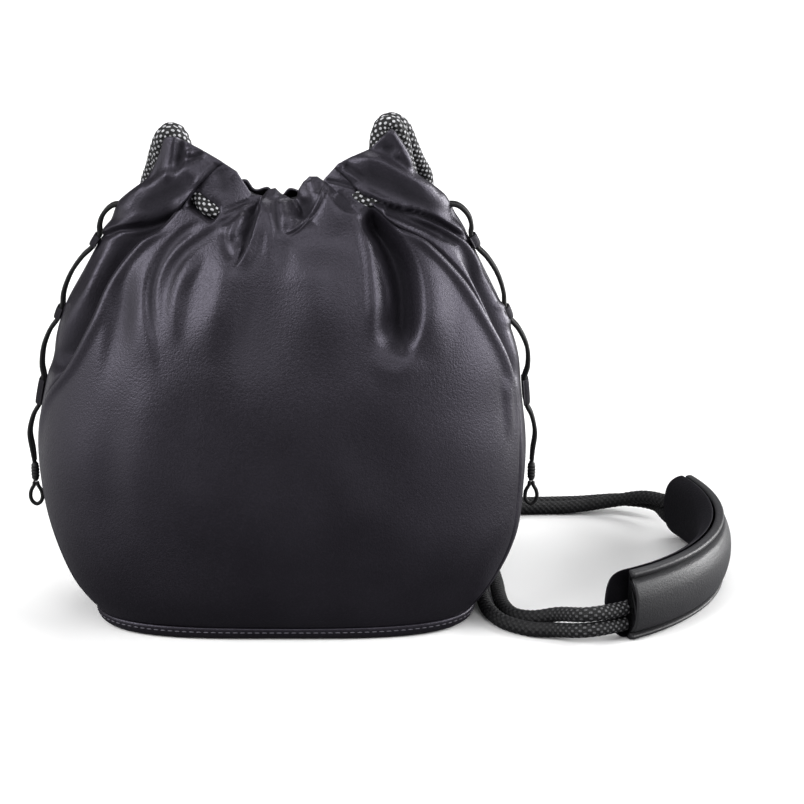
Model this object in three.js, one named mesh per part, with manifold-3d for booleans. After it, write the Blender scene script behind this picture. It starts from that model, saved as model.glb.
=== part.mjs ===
// A drawstring pouch in soft black leather, with a braided rope that gathers its mouth and forms
// the shoulder strap, and elastic cords laced down both sides.
// Millimetres, +Z up, front towards -Y. The origin is on the floor under the middle of the bag.
import * as THREE from "three";
import { mergeVertices } from "three/addons/utils/BufferGeometryUtils.js";
import Module from "manifold-3d";

// Body of the bag: its widest half measures, and the heights of its shoulder and rim
const BELLY_LEFT = 122;
const BELLY_RIGHT = 122;
const BELLY_DEPTH = 64;
const SHOULDER_HEIGHT = 206;
const RIM_FRONT = 218;
const RIM_BACK = 211;
const LEFT_EAR_RISE = 24;
const RIGHT_EAR_RISE = 28;
const MOUTH_LEFT = 61;
const MOUTH_RIGHT = 66;
const MOUTH_FRONT = 11;
const MOUTH_BACK = 15.5;

// Leather and what lies under it. The lining's foot and drop are counted in rows of sections, and
// its upper edge hangs LINING_EASE away from the leather.
const LEATHER = 2;
const SEAM_GAP = 0.3;
const LAYER_GAP = 1;
const LINING = 0.8;
const LINING_FOOT = 0.35;
const LINING_DROP = 4;
const LINING_EASE = 5;
const BASE_LIP = 6.5;
const BASE_INSET = 7;
const BASE_PLATE = 2;
const BOARD = 2;
const BOARD_INSET = 5;

// Rope and its tunnels in the mouth. The drop is counted in rows of sections below the rim.
const ROPE = 7.4;
const ROPE_CLEARANCE = 0.45;
const TUNNEL_WALL = 1.2;
const TUNNEL_DROP = 0.36;

// Side lacing
const ELASTIC = 2.2;
const ELASTIC_SPACING = 5.2;
const ELASTIC_BULGE = 3.4;
const KEEPER_WALL = 1.4;
const KEEPER_PLAY = 0.4;
const STOP_RADIUS = 3;
const STOP_LENGTH = 10;
const LOOP_CORD = 2;
const LOOP_WIDTH = 6;
const LOOP_DROP = 12;
const LOOP_SWING_GAP = 0.6;

// Shoulder pad: a sleeve bent to an arc round the strap ropes
const PAD_CENTRE_X = 112;
const PAD_CENTRE_Y = 50;
const PAD_RADIUS = 112;
const PAD_HEIGHT = 36;
const PAD_START = -58.9;
const PAD_END = 23.6;
const PAD_BORE = 10.4;
const PAD_OUTER_WALL = 2.2;
const PAD_LINING_WALL = 1.6;
const PAD_EDGE = 3.4;
const PAD_FLAP = 12;
const PAD_FLOOR_GAP = 0.4;

// How finely curved surfaces are divided
const FRONT_COLUMNS = 44;
const BACK_COLUMNS = 24;
const GUSSET_COLUMNS = 10;
const SHELL_ROWS = 22;
const RING_COLUMNS = 60;
const ROPE_SIDES = 10;
const ELASTIC_SIDES = 6;

// Level sections of the body from the base seam to the shoulder: height as a share of
// SHOULDER_HEIGHT, half measures as shares of the belly's, and how square the outline is.
// Each also gives the angle of the four seams, from +X round towards the back.
const SECTIONS = [
  { up: 0.033, left: 0.78, right: 0.8, depth: 0.8, power: 3.2, seams: [23, 157, 203, 337] },
  { up: 0.107, left: 0.877, right: 0.893, depth: 0.89, power: 2.9, seams: [20, 160, 200, 340] },
  { up: 0.218, left: 0.947, right: 0.971, depth: 0.96, power: 2.7, seams: [17, 163, 196, 343] },
  { up: 0.33, left: 0.99, right: 0.996, depth: 1, power: 2.5, seams: [15, 165, 191, 345] },
  { up: 0.437, left: 1, right: 1, depth: 0.99, power: 2.4, seams: [14, 166, 189, 345] },
  { up: 0.544, left: 0.972, right: 0.984, depth: 0.945, power: 2.3, seams: [14, 166, 192, 347] },
  { up: 0.65, left: 0.93, right: 0.965, depth: 0.867, power: 2.25, seams: [18, 162, 206, 343] },
  { up: 0.757, left: 0.874, right: 0.9, depth: 0.75, power: 2.2, seams: [24, 156, 213, 338] },
  { up: 0.854, left: 0.788, right: 0.825, depth: 0.61, power: 2.15, seams: [31, 149, 213, 333] },
  { up: 0.937, left: 0.708, right: 0.757, depth: 0.47, power: 2.1, seams: [39, 141, 219, 322] },
  { up: 1, left: 0.635, right: 0.69, depth: 0.36, power: 2.05, seams: [50, 130, 230, 309] },
];
const RIM_SEAMS = [63, 117, 243, 297];

// Rise of the rim above its front or back height at angles round the mouth. The ears stand at
// EAR_LEFT_ANGLE and EAR_RIGHT_ANGLE, and the ropes leave over the low stretch behind each ear.
const EAR_LEFT_ANGLE = 213;
const EAR_RIGHT_ANGLE = 326;
const BACK_RISES = [
  [0, 11],
  [12, 7.5],
  [25, 5],
  [38, 5],
  [50, 8.5],
  [62, 9.5],
  [75, 5],
  [90, 0],
  [105, 5],
  [118, 9.5],
  [130, 8.5],
  [142, 5],
  [155, 4.5],
  [168, 6],
];
const FRONT_RISES = [
  [180, 1],
  [192, 6],
  [203, 17],
  [EAR_LEFT_ANGLE, LEFT_EAR_RISE],
  [222, 21],
  [232, 15.5],
  [241, 11],
  [250, 4],
  [258, 0.5],
  [270, 0],
  [283, 3],
  [290, 5],
  [296, 11],
  [308, 17],
  [314, 21.5],
  [EAR_RIGHT_ANGLE, RIGHT_EAR_RISE],
  [335, 20],
  [344, 8],
  [352, 5],
];

// The front panel's main folds. Each runs along its points, given as the angle round the bag and the
// row of sections, and stands its height proud of the panel, or lies that deep in it below 0.
// Above FOLD_CLEAR_ROW none lies deep, as the rope's tunnel is there.
const FOLD_CLEAR_ROW = 10;
const DEEP_PLEAT = [[303.8, 10.1], [306.8, 9.3], [307.8, 8.5], [306.4, 7.8], [303.6, 7.1], [301, 6.7]];
const PLEAT_LEFT_ROLL = [[298.5, 10.3], [299.3, 9.4], [298.8, 8.6], [296.5, 7.7], [294.5, 6.8]];
const PLEAT_RIGHT_ROLL = [[309, 10], [312.8, 9.3], [314, 8.5], [312.6, 7.7], [308.2, 7], [303.2, 6.4]];
const BOWL = [[293.4, 10.7], [294.2, 10.3], [295.5, 9.9]];
const BOWL_RIM = [[289.6, 10.7], [289.8, 10.3], [292.4, 9.9], [296.8, 9.9]];
const LOBE = [[284.5, 10.9], [284, 10.5], [282.5, 10.2]];
const POCKET = [[280.4, 10.6], [280.2, 10.2], [278.2, 9.9], [275.4, 9.5]];
const BULGE = [[273.4, 10.8], [273.6, 10.2], [273.4, 9.6]];
const BULGE_CREASE = [[268.8, 10.6], [269.6, 10], [271.6, 9.5], [274, 9.3]];
const V_LIP = [[266, 10.6], [265.4, 9.9], [264.4, 9.2], [262.4, 8.5]];
const V_HOLLOW = [[261.8, 10.5], [261, 10], [259.6, 9.4], [257.6, 8.8]];
const BROAD_RIDGE = [[254, 9.2], [253, 8.6], [252.8, 7.8], [252.8, 7], [251.8, 6.4]];
const BROAD_RIDGE_SIDE = [[261.8, 8.4], [261.2, 7.5], [260.6, 6.7]];
const NARROW_RIDGE = [[246, 8.7], [243.5, 8.1], [243.4, 7.5], [244.8, 6.9]];
const NARROW_RIDGE_SIDE = [[252, 9.6], [245.5, 9.1], [239.8, 8.6], [237.4, 8.1], [237.4, 7.5], [240.4, 6.9]];
const LEFT_RIDGE = [[233.4, 9.5], [229.2, 8.8], [229.2, 8.2], [232, 7.5], [233.5, 6.8]];
const LEFT_VALLEY = [[226.4, 8.3], [227, 7.5], [226, 6.7]];
const FRONT_FOLDS = [
  { points: DEEP_PLEAT, height: -8, width: 20 },
  { points: PLEAT_LEFT_ROLL, height: 2.4, width: 14 },
  { points: PLEAT_RIGHT_ROLL, height: 2.4, width: 16 },
  { points: BOWL, height: -4.5, width: 10 },
  { points: BOWL_RIM, height: 2.2, width: 8 },
  { points: LOBE, height: 2, width: 9 },
  { points: POCKET, height: -5, width: 9 },
  { points: BULGE, height: 3, width: 9 },
  { points: BULGE_CREASE, height: -2.6, width: 6 },
  { points: V_LIP, height: 3.2, width: 10 },
  { points: V_HOLLOW, height: -6, width: 9 },
  { points: BROAD_RIDGE, height: 4.6, width: 22 },
  { points: BROAD_RIDGE_SIDE, height: -2.8, width: 22 },
  { points: NARROW_RIDGE, height: 3, width: 10 },
  { points: NARROW_RIDGE_SIDE, height: -3.2, width: 12 },
  { points: LEFT_RIDGE, height: 3, width: 10 },
  { points: LEFT_VALLEY, height: -4, width: 14 },
];

const wasm = await Module();
wasm.setup();

const leather = { color: 0x3a383e, roughness: 0.5, metalness: 0 };
const MATERIALS = {
  shell: new THREE.MeshStandardMaterial(leather),
  trim: new THREE.MeshStandardMaterial({ ...leather, color: 0x2c2a30 }),
  lining: new THREE.MeshStandardMaterial({ color: 0x18171b, roughness: 0.9, metalness: 0 }),
  board: new THREE.MeshStandardMaterial({ color: 0x4a4742, roughness: 0.9, metalness: 0 }),
  rope: new THREE.MeshStandardMaterial({ color: 0x1b1a1d, roughness: 0.8, metalness: 0 }),
  elastic: new THREE.MeshStandardMaterial({ color: 0x121113, roughness: 0.7, metalness: 0 }),
};

const group = new THREE.Group();

function addMesh(name, geometry, material) {
  const mesh = new THREE.Mesh(geometry, material);
  mesh.name = name;
  group.add(mesh);
}

// Solids and their joins

function toSolid(geometry) {
  const bare = geometry.index ? geometry.toNonIndexed() : geometry.clone();
  bare.deleteAttribute("normal");
  bare.deleteAttribute("uv");
  const merged = mergeVertices(bare, 1e-4);
  return new wasm.Manifold(
    new wasm.Mesh({
      numProp: 3,
      vertProperties: new Float32Array(merged.attributes.position.array),
      triVerts: new Uint32Array(merged.index.array),
    }),
  );
}

function toGeometry(solid) {
  const mesh = solid.getMesh();
  const geometry = new THREE.BufferGeometry();
  geometry.setAttribute("position", new THREE.BufferAttribute(new Float32Array(mesh.vertProperties), 3));
  geometry.setIndex(new THREE.BufferAttribute(new Uint32Array(mesh.triVerts), 1));
  return geometry;
}

function cut(geometry, cutters) {
  const solid = cutters.reduce((left, cutter) => left.subtract(toSolid(cutter)), toSolid(geometry));
  return toGeometry(solid);
}

// Numbers along the sections

function catmullRom(p0, p1, p2, p3, t) {
  const straight = 2 * p1 + (p2 - p0) * t;
  const square = (2 * p0 - 5 * p1 + 4 * p2 - p3) * t * t;
  const cube = (3 * p1 - p0 - 3 * p2 + p3) * t * t * t;
  return (straight + square + cube) / 2;
}

function along(values, row) {
  const last = values.length - 1;
  const i = Math.min(Math.floor(row), last - 1);
  const at = (k) => values[Math.max(0, Math.min(last, k))];
  return catmullRom(at(i - 1), at(i), at(i + 1), at(i + 2), row - i);
}

// The rim's height at an angle round the mouth, smooth between the listed rises
function rimHeight(angle) {
  const turn = ((angle % 360) + 360) % 360;
  const back = BACK_RISES.map(([at, rise]) => [at, RIM_BACK + rise]);
  const front = FRONT_RISES.map(([at, rise]) => [at, RIM_FRONT + rise]);
  const list = [...back, ...front];
  const count = list.length;
  const i = list.findLastIndex(([at]) => at <= turn);
  const next = i + 1 < count ? list[i + 1][0] : 360;
  const share = (turn - list[i][0]) / (next - list[i][0]);
  const at = (k) => list[(k + count) % count][1];
  return catmullRom(at(i - 1), at(i), at(i + 1), at(i + 2), share);
}

const RIM_ROW = SECTIONS.length;
const sectionLefts = [...SECTIONS.map((s) => s.left * BELLY_LEFT), MOUTH_LEFT];
const sectionRights = [...SECTIONS.map((s) => s.right * BELLY_RIGHT), MOUTH_RIGHT];
const sectionFronts = [...SECTIONS.map((s) => s.depth * BELLY_DEPTH), MOUTH_FRONT];
const sectionBacks = [...SECTIONS.map((s) => s.depth * BELLY_DEPTH), MOUTH_BACK];
const sectionPowers = [...SECTIONS.map((s) => s.power), 2];
const sectionHeights = SECTIONS.map((s) => s.up * SHOULDER_HEIGHT);
const SEAMS = [0, 1, 2, 3].map((k) => [...SECTIONS.map((s) => s.seams[k]), RIM_SEAMS[k]]);

// The outside of the bag: angle round it in degrees, row from 0 at the base seam to RIM_ROW
function outside(angle, row) {
  const turn = THREE.MathUtils.degToRad(angle);
  const across = Math.cos(turn);
  const deep = Math.sin(turn);
  const power = 2 / along(sectionPowers, row);
  const halfWidth = along(across < 0 ? sectionLefts : sectionRights, row);
  const halfDepth = along(deep < 0 ? sectionFronts : sectionBacks, row);
  const x = Math.sign(across) * halfWidth * Math.abs(across) ** power;
  const y = Math.sign(deep) * halfDepth * Math.abs(deep) ** power;
  return new THREE.Vector3(x, y, along([...sectionHeights, rimHeight(angle)], row));
}

function normalAt(angle, row) {
  const step = 0.4;
  const low = Math.max(0, row - 0.05);
  const high = Math.min(RIM_ROW, row + 0.05);
  const round = outside(angle + step, row).sub(outside(angle - step, row));
  const up = outside(angle, high).sub(outside(angle, low));
  return round.cross(up).normalize();
}

// A point that lies depth under the outside of the bag
function under(angle, row, depth) {
  return outside(angle, row).addScaledVector(normalAt(angle, row), -depth);
}

// A seam's angle, moved to one side so that the two pieces sewn there keep half the gap each
function seamAngle(index, row, side) {
  const angle = along(SEAMS[index], row);
  const perDegree = outside(angle + 0.5, row).distanceTo(outside(angle - 0.5, row));
  return angle + (side * SEAM_GAP) / 2 / perDegree;
}

const foldPaths = FRONT_FOLDS.map(({ points }) => points.map(([angle, row]) => outside(angle, row)));

// How far one fold moves a point: its height times (1 - (distance / reach)^2)^2, faded at its ends
function foldHeight({ height, width }, path, point) {
  let nearest = width / 2;
  let share = 0;
  for (let k = 0; k + 1 < path.length; k++) {
    const line = new THREE.Line3(path[k], path[k + 1]);
    const passed = line.closestPointToPointParameter(point, true);
    const distance = line.at(passed, new THREE.Vector3()).distanceTo(point);
    if (distance < nearest) {
      nearest = distance;
      share = (k + passed) / (path.length - 1);
    }
  }
  const fade = THREE.MathUtils.smoothstep(Math.min(share, 1 - share), 0, 0.22);
  return height * fade * (1 - ((2 * nearest) / width) ** 2) ** 2;
}

// The front panel's relief at an angle and row. It fades towards the panel's edges, by edge from 0.
function frontRelief(angle, row, edge) {
  const point = outside(angle, row);
  const total = FRONT_FOLDS.reduce((sum, fold, k) => sum + foldHeight(fold, foldPaths[k], point), 0);
  const overTunnel = THREE.MathUtils.smoothstep(row, FOLD_CLEAR_ROW, FOLD_CLEAR_ROW + 0.4);
  const kept = total < 0 ? total * (1 - overTunnel) : total;
  return kept * THREE.MathUtils.smoothstep(edge, 0, 0.06);
}

// Meshes from grids of points

function geometryOf(points, faces) {
  const geometry = new THREE.BufferGeometry();
  const numbers = points.flatMap((p) => [p.x, p.y, p.z]);
  geometry.setAttribute("position", new THREE.Float32BufferAttribute(numbers, 3));
  geometry.setIndex(faces);
  return geometry;
}

function quad(faces, a, b, c, d) {
  faces.push(a, b, c, a, c, d);
}

// A curved sheet with thickness: place(u, v, depth) for u and v from 0 to 1. Each of its cells is
// split along the diagonal that passes nearer to the surface.
function sheetGeometry(place, columns, rows, outer, inner) {
  const points = [];
  const faces = [];
  const wide = columns + 1;
  const layer = wide * (rows + 1);
  for (const depth of [outer, inner])
    for (let j = 0; j <= rows; j++)
      for (let i = 0; i <= columns; i++) points.push(place(i / columns, j / rows, depth));
  const at = (i, j, k) => k * layer + j * wide + i;
  const addCell = (i, j, k) => {
    const corners = [at(i, j, k), at(i + 1, j, k), at(i + 1, j + 1, k), at(i, j + 1, k)];
    const middle = place((i + 0.5) / columns, (j + 0.5) / rows, k === 0 ? outer : inner);
    const miss = (a, b) => points[a].clone().lerp(points[b], 0.5).distanceTo(middle);
    if (miss(corners[1], corners[3]) < miss(corners[0], corners[2])) corners.push(corners.shift());
    const [a, b, c, d] = corners;
    if (k === 0) quad(faces, a, b, c, d);
    else quad(faces, a, d, c, b);
  };
  for (let j = 0; j < rows; j++)
    for (let i = 0; i < columns; i++) {
      addCell(i, j, 0);
      addCell(i, j, 1);
    }
  for (let i = 0; i < columns; i++) {
    quad(faces, at(i, 0, 1), at(i + 1, 0, 1), at(i + 1, 0, 0), at(i, 0, 0));
    quad(faces, at(i, rows, 0), at(i + 1, rows, 0), at(i + 1, rows, 1), at(i, rows, 1));
  }
  for (let j = 0; j < rows; j++) {
    quad(faces, at(0, j, 0), at(0, j + 1, 0), at(0, j + 1, 1), at(0, j, 1));
    quad(faces, at(columns, j, 1), at(columns, j + 1, 1), at(columns, j + 1, 0), at(columns, j, 0));
  }
  return geometryOf(points, faces);
}

// Rings of equal count joined in order, with a fan over the first and the last
function ringsGeometry(rings) {
  const count = rings[0].length;
  const points = rings.flat();
  const faces = [];
  for (let r = 0; r + 1 < rings.length; r++)
    for (let i = 0; i < count; i++) {
      const j = (i + 1) % count;
      quad(faces, r * count + i, r * count + j, (r + 1) * count + j, (r + 1) * count + i);
    }
  const middle = (ring) => ring.reduce((sum, p) => sum.add(p), new THREE.Vector3()).divideScalar(count);
  const first = points.length;
  points.push(middle(rings[0]), middle(rings[rings.length - 1]));
  const lastRing = (rings.length - 1) * count;
  for (let i = 0; i < count; i++) {
    const j = (i + 1) % count;
    faces.push(first, j, i, first + 1, lastRing + i, lastRing + j);
  }
  return geometryOf(points, faces);
}

function ring(place) {
  return Array.from({ length: RING_COLUMNS }, (_, i) => place((360 * i) / RING_COLUMNS));
}

// Base outline at a height, drawn in by inset from the seam's outline
function baseRing(inset, height) {
  return ring((angle) => {
    const edge = outside(angle, 0);
    const share = 1 - inset / Math.hypot(edge.x, edge.y);
    return new THREE.Vector3(edge.x * share, edge.y * share, height);
  });
}

// A tube through chosen points, whose rings fall on the points and, with more than one step, between
class Route extends THREE.CatmullRomCurve3 {
  getUtoTmapping(u) {
    return u;
  }
}

function tubeGeometry(points, diameter, sides, stepsBetween) {
  const section = new THREE.Shape();
  for (let i = 0; i < sides; i++) {
    const turn = (2 * Math.PI * i) / sides;
    const x = (diameter / 2) * Math.cos(turn);
    const y = (diameter / 2) * Math.sin(turn);
    if (i === 0) section.moveTo(x, y);
    else section.lineTo(x, y);
  }
  section.closePath();
  const steps = (points.length - 1) * stepsBetween;
  return new THREE.ExtrudeGeometry(section, {
    steps,
    curveSegments: 1,
    bevelEnabled: false,
    extrudePath: new Route(points, false, "centripetal"),
  });
}

const toVectors = (list) => list.map(([x, y, z]) => new THREE.Vector3(x, y, z));

// Rope held by the bag. Each arch runs from the front slit or back tunnel through the mouth, over the
// ear and down to where the strap's free stretch starts.
const FRONT_LEFT_ARCH = [
  [-41.4, -8.6, 217.6],
  [-42.8, -5.4, 223],
  [-43.9, -3.8, 229.5],
  [-45.2, -2, 236],
  [-47.7, -0.6, 241.3],
  [-51.4, 0.6, 243.3],
  [-55, 2, 241],
  [-57.4, 4.4, 234.5],
  [-58.3, 7.6, 226.5],
  [-59.2, 12.9, 218],
];
const BACK_LEFT_ARCH = [
  [-37, 13.4, 207],
  [-42, 7.4, 213.5],
  [-43.8, 4.2, 221.5],
  [-44.9, 5.4, 231],
  [-46.2, 6.6, 238],
  [-48.8, 7.8, 242.4],
  [-52.8, 8.9, 243.4],
  [-56.8, 10.6, 240],
  [-60, 13.4, 232.5],
  [-62.4, 17.3, 224.5],
  [-65.4, 21.2, 216.5],
];
const FRONT_RIGHT_ARCH = [
  [49.4, -10.4, 214.6],
  [49.2, -6.2, 221.4],
  [48.2, -4, 229.5],
  [47.8, -2.4, 238],
  [49.3, -0.8, 245],
  [53.2, 0.6, 248.2],
  [57.6, 2, 246],
  [60.4, 4.2, 238.5],
  [61.9, 7.6, 229.5],
  [63.8, 13.2, 221],
];
const BACK_RIGHT_ARCH = [
  [40, 13.6, 207],
  [45.6, 7.6, 213.5],
  [47.8, 4.2, 221.5],
  [48, 5.4, 231],
  [48.4, 6.8, 240],
  [50.6, 8.3, 246.4],
  [54.8, 9.3, 248.3],
  [60.2, 10.6, 245],
  [64, 13, 236.5],
  [67.2, 17, 228],
  [71, 21, 219.6],
];

// Between the tunnel and each ear the front rope shows in a slit of the leather. Its points there are
// given as the angle round the bag, the row of sections and the depth under the leather's outside.
const LEFT_PATCH = [
  [239, 10.36, 3.2],
  [244, 10.24, 2.6],
  [249, 10.26, 5.4],
];
const RIGHT_PATCH = [
  [294.5, 10.42, 6],
  [300, 10.38, 3],
  [304.6, 10.27, 2.8],
];
const tunnelDepth = LEATHER + LAYER_GAP + TUNNEL_WALL + ROPE_CLEARANCE + ROPE / 2;
const tunnelRow = RIM_ROW - TUNNEL_DROP;
const FRONT_TUNNEL_ANGLES = [256, 263, 270, 278, 286];
const BACK_TUNNEL_ANGLES = [120, 112, 104, 97, 90, 83, 76, 68, 60];

const frontTunnel = FRONT_TUNNEL_ANGLES.map((angle) => under(angle, tunnelRow, tunnelDepth));
const backTunnel = BACK_TUNNEL_ANGLES.map((angle) => under(angle, tunnelRow, tunnelDepth));

const frontRoute = [
  ...toVectors(FRONT_LEFT_ARCH).reverse(),
  ...LEFT_PATCH.map((place) => under(...place)),
  ...frontTunnel,
  ...RIGHT_PATCH.map((place) => under(...place)),
  ...toVectors(FRONT_RIGHT_ARCH),
];
const backRoute = [
  ...toVectors(BACK_LEFT_ARCH).reverse(),
  ...backTunnel,
  ...toVectors(BACK_RIGHT_ARCH),
];

// Strap rope that lies free, from the left ear down behind the bag, along the floor, through the
// pad and back up behind the bag to the right ear. Rope B crosses over rope A behind the bag.
const STRAP_A = [
  [-59.3, 13.4, 217.3],
  [-60.2, 24.5, 203],
  [-59.5, 35, 184],
  [-57.5, 49.8, 154],
  [-52, 66.2, 86],
  [-45.5, 71.5, 24],
  [-38, 82, 8],
  [-22, 94.5, 3.9],
  [4, 109.5, 3.9],
  [32, 122, 3.9],
  [60, 131.8, 3.9],
  [90, 137.6, 3.9],
  [124, 140.4, 3.9],
  [160, 141.4, 4.4],
  [187, 138.4, 7],
  [203.4, 125.4, 8.8],
  [209.1, 105.8, 8.4],
  [218.4, 85.3, 7.7],
  [223.3, 60.5, 7.7],
  [223.3, 38.5, 7.7],
  [218.4, 14.7, 7.7],
  [209, -6.1, 7.7],
  [195.4, -25, 7.7],
  [179, -39.5, 7.7],
  [164.7, -48.8, 7.7],
  [150.3, -55, 7.9],
  [136.4, -48, 5],
  [122.8, -43.8, 3.9],
  [110.6, -34.6, 3.9],
  [103.8, -19, 3.9],
  [101.6, -2, 3.9],
  [100.8, 16, 3.9],
  [98.4, 38, 3.9],
  [91, 58.6, 3.9],
  [78, 73.6, 6.6],
  [68.6, 73.4, 22],
  [63.2, 66.4, 86],
  [62.4, 50, 154],
  [62.6, 36, 184],
  [63.4, 26, 203],
  [63.9, 13.7, 220.3],
];
const STRAP_B = [
  [-65.7, 21.6, 215.8],
  [-68.8, 27.2, 201],
  [-67.5, 36, 183],
  [-65.4, 50, 152],
  [-60, 65.2, 86],
  [-54.5, 74, 24],
  [-46, 86.6, 8],
  [-29, 102, 4.2],
  [-13, 108.6, 9.4],
  [3, 111.8, 12],
  [18, 114.8, 12.1],
  [34, 118.4, 11.4],
  [50, 121.6, 8.4],
  [66, 124.6, 4.2],
  [92, 129.2, 3.9],
  [124, 132.4, 3.9],
  [156, 133.2, 4.4],
  [181, 130.4, 9.2],
  [196.6, 120.8, 14.8],
  [209.1, 105.8, 16.8],
  [218.4, 85.3, 15.6],
  [223.3, 60.5, 15.6],
  [223.3, 38.5, 15.6],
  [218.4, 14.7, 15.6],
  [209, -6.1, 15.6],
  [195.4, -25, 15.6],
  [179, -39.5, 15.6],
  [164.7, -48.8, 15.7],
  [150.3, -54.4, 15.8],
  [137.4, -42.4, 11],
  [125.4, -36.4, 6.8],
  [116.4, -27.2, 4.4],
  [111.4, -13.4, 3.9],
  [109.8, 1, 3.9],
  [109.2, 18, 3.9],
  [106.8, 40, 3.9],
  [99, 62.6, 3.9],
  [86, 80.4, 6.6],
  [77.4, 77.6, 22],
  [71.2, 64.8, 86],
  [70.4, 48.2, 154],
  [70.8, 35, 184],
  [71.4, 25.6, 203],
  [71.7, 21.9, 217.9],
];

const ropeOf = (points, diameter, steps) => tubeGeometry(points, diameter, ROPE_SIDES, steps);
const frontSlit = ropeOf(frontRoute, ROPE + 2 * ROPE_CLEARANCE, 1);
const backSlit = ropeOf(backRoute, ROPE + 2 * ROPE_CLEARANCE, 1);
const tunnelWidth = ROPE + 2 * (ROPE_CLEARANCE + TUNNEL_WALL);
const frontSeat = ropeOf(frontTunnel, tunnelWidth + 2 * SEAM_GAP, 1);
const backSeat = ropeOf(backTunnel, tunnelWidth + 2 * SEAM_GAP, 1);

function addShell() {
  const parts = [
    ["front_panel", 2, 3, FRONT_COLUMNS],
    ["back_panel", 0, 1, BACK_COLUMNS],
    ["left_gusset", 1, 2, GUSSET_COLUMNS],
    ["right_gusset", 3, 0, GUSSET_COLUMNS],
  ];
  for (const [name, from, to, columns] of parts) {
    const place = (u, v, depth) => {
      const row = RIM_ROW * v ** 0.8;
      const start = seamAngle(from, row, 1);
      const end = seamAngle(to, row, -1) + (from > to ? 360 : 0);
      const angle = start + (end - start) * u;
      const relief = name === "front_panel" ? frontRelief(angle, row, Math.min(u, 1 - u)) : 0;
      return under(angle, row, depth - relief);
    };
    const plain = sheetGeometry(place, columns, SHELL_ROWS, 0, LEATHER);
    addMesh(name, cut(plain, [frontSlit, backSlit, frontSeat, backSeat]), MATERIALS.shell);
  }
}

function addTunnels() {
  addMesh("front_tunnel", cut(ropeOf(frontTunnel, tunnelWidth, 1), [frontSlit]), MATERIALS.trim);
  addMesh("back_tunnel", cut(ropeOf(backTunnel, tunnelWidth, 1), [backSlit]), MATERIALS.trim);
}

function addBase() {
  const seat = sectionHeights[0] - SEAM_GAP;
  const lipTop = Math.min(BASE_LIP, seat);
  const wall = LEATHER;
  addMesh(
    "base_panel",
    ringsGeometry([
      baseRing(BASE_INSET, 0),
      baseRing(BASE_INSET * 0.28, lipTop * 0.35),
      baseRing(0, lipTop),
      baseRing(wall, lipTop),
      baseRing(wall + BASE_INSET * 0.28, BASE_PLATE + lipTop * 0.2),
      baseRing(wall + BASE_INSET, BASE_PLATE),
    ]),
    MATERIALS.shell,
  );
  const boardEdge = wall + BASE_INSET + BOARD_INSET;
  const boardFoot = BASE_PLATE + SEAM_GAP;
  addMesh(
    "base_board",
    ringsGeometry([baseRing(boardEdge, boardFoot), baseRing(boardEdge, boardFoot + BOARD)]),
    MATERIALS.board,
  );
}

function addLining() {
  const floor = BASE_PLATE + SEAM_GAP + BOARD + SEAM_GAP;
  const outer = LEATHER + LAYER_GAP;
  const inner = outer + LINING;
  const top = RIM_ROW - LINING_DROP;
  const steps = 8;
  const rows = Array.from({ length: steps + 1 }, (_, i) => LINING_FOOT + ((top - LINING_FOOT) * i) / steps);
  const ease = (row) => LINING_EASE * THREE.MathUtils.smoothstep(row, top - 1, top);
  const foot = LEATHER + BASE_INSET;
  addMesh(
    "lining",
    ringsGeometry([
      baseRing(foot, floor),
      ...rows.map((row) => ring((angle) => under(angle, row, outer + ease(row)))),
      ...rows.toReversed().map((row) => ring((angle) => under(angle, row, inner + ease(row)))),
      baseRing(foot + LINING, floor + LINING),
    ]),
    MATERIALS.lining,
  );
}

function addRopes() {
  addMesh("front_drawcord", ropeOf(frontRoute, ROPE, 1), MATERIALS.rope);
  addMesh("back_drawcord", ropeOf(backRoute, ROPE, 1), MATERIALS.rope);
  addMesh("strap_rope_a", tubeGeometry(toVectors(STRAP_A), ROPE, 8, 1), MATERIALS.rope);
  addMesh("strap_rope_b", tubeGeometry(toVectors(STRAP_B), ROPE, 8, 1), MATERIALS.rope);
}

// Side lacing: the middle line of each gusset, by height
const SIDES = [
  { name: "left", angle: 180, out: -1 },
  { name: "right", angle: 0, out: 1 },
];
const LACE_TOP = 209;
const KEEPERS = [
  { height: 190, length: 6 },
  { height: 154, length: 6 },
  { height: 114, length: 13 },
];
const STOP_TOP = 77;

function rowAtHeight(height) {
  let low = 0;
  let high = RIM_ROW;
  for (let i = 0; i < 40; i++) {
    const middle = (low + high) / 2;
    if (along([...sectionHeights, RIM_FRONT], middle) < height) low = middle;
    else high = middle;
  }
  return low;
}

function onSide(side, height, y, proud) {
  const row = rowAtHeight(height);
  const surface = under(side.angle, row, 0);
  const normal = normalAt(side.angle, row);
  return new THREE.Vector3(surface.x + normal.x * proud, y, surface.z + normal.z * proud);
}

// Heights and stand-off along one lace: flat under each keeper, bulging out between them
function lacePoints(side, y) {
  const seated = ELASTIC / 2 + SEAM_GAP;
  const stops = [LACE_TOP];
  for (const { height, length } of KEEPERS) stops.push(height + length / 2, height - length / 2);
  stops.push(STOP_TOP);
  const points = [];
  for (let i = 0; i < stops.length; i++) {
    const last = i === stops.length - 1;
    const proud = seated + (last ? STOP_RADIUS - ELASTIC / 2 : 0);
    points.push(onSide(side, stops[i], y * (last ? 0.45 : 1), proud));
    const spanned = i % 2 === 0 && !last;
    if (spanned)
      for (const share of [0.2, 0.5, 0.8]) {
        const height = stops[i] + (stops[i + 1] - stops[i]) * share;
        const bulge = ELASTIC_BULGE * (1 - (2 * share - 1) ** 2);
        points.push(onSide(side, height, y, seated + bulge));
      }
  }
  return points;
}

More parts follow.
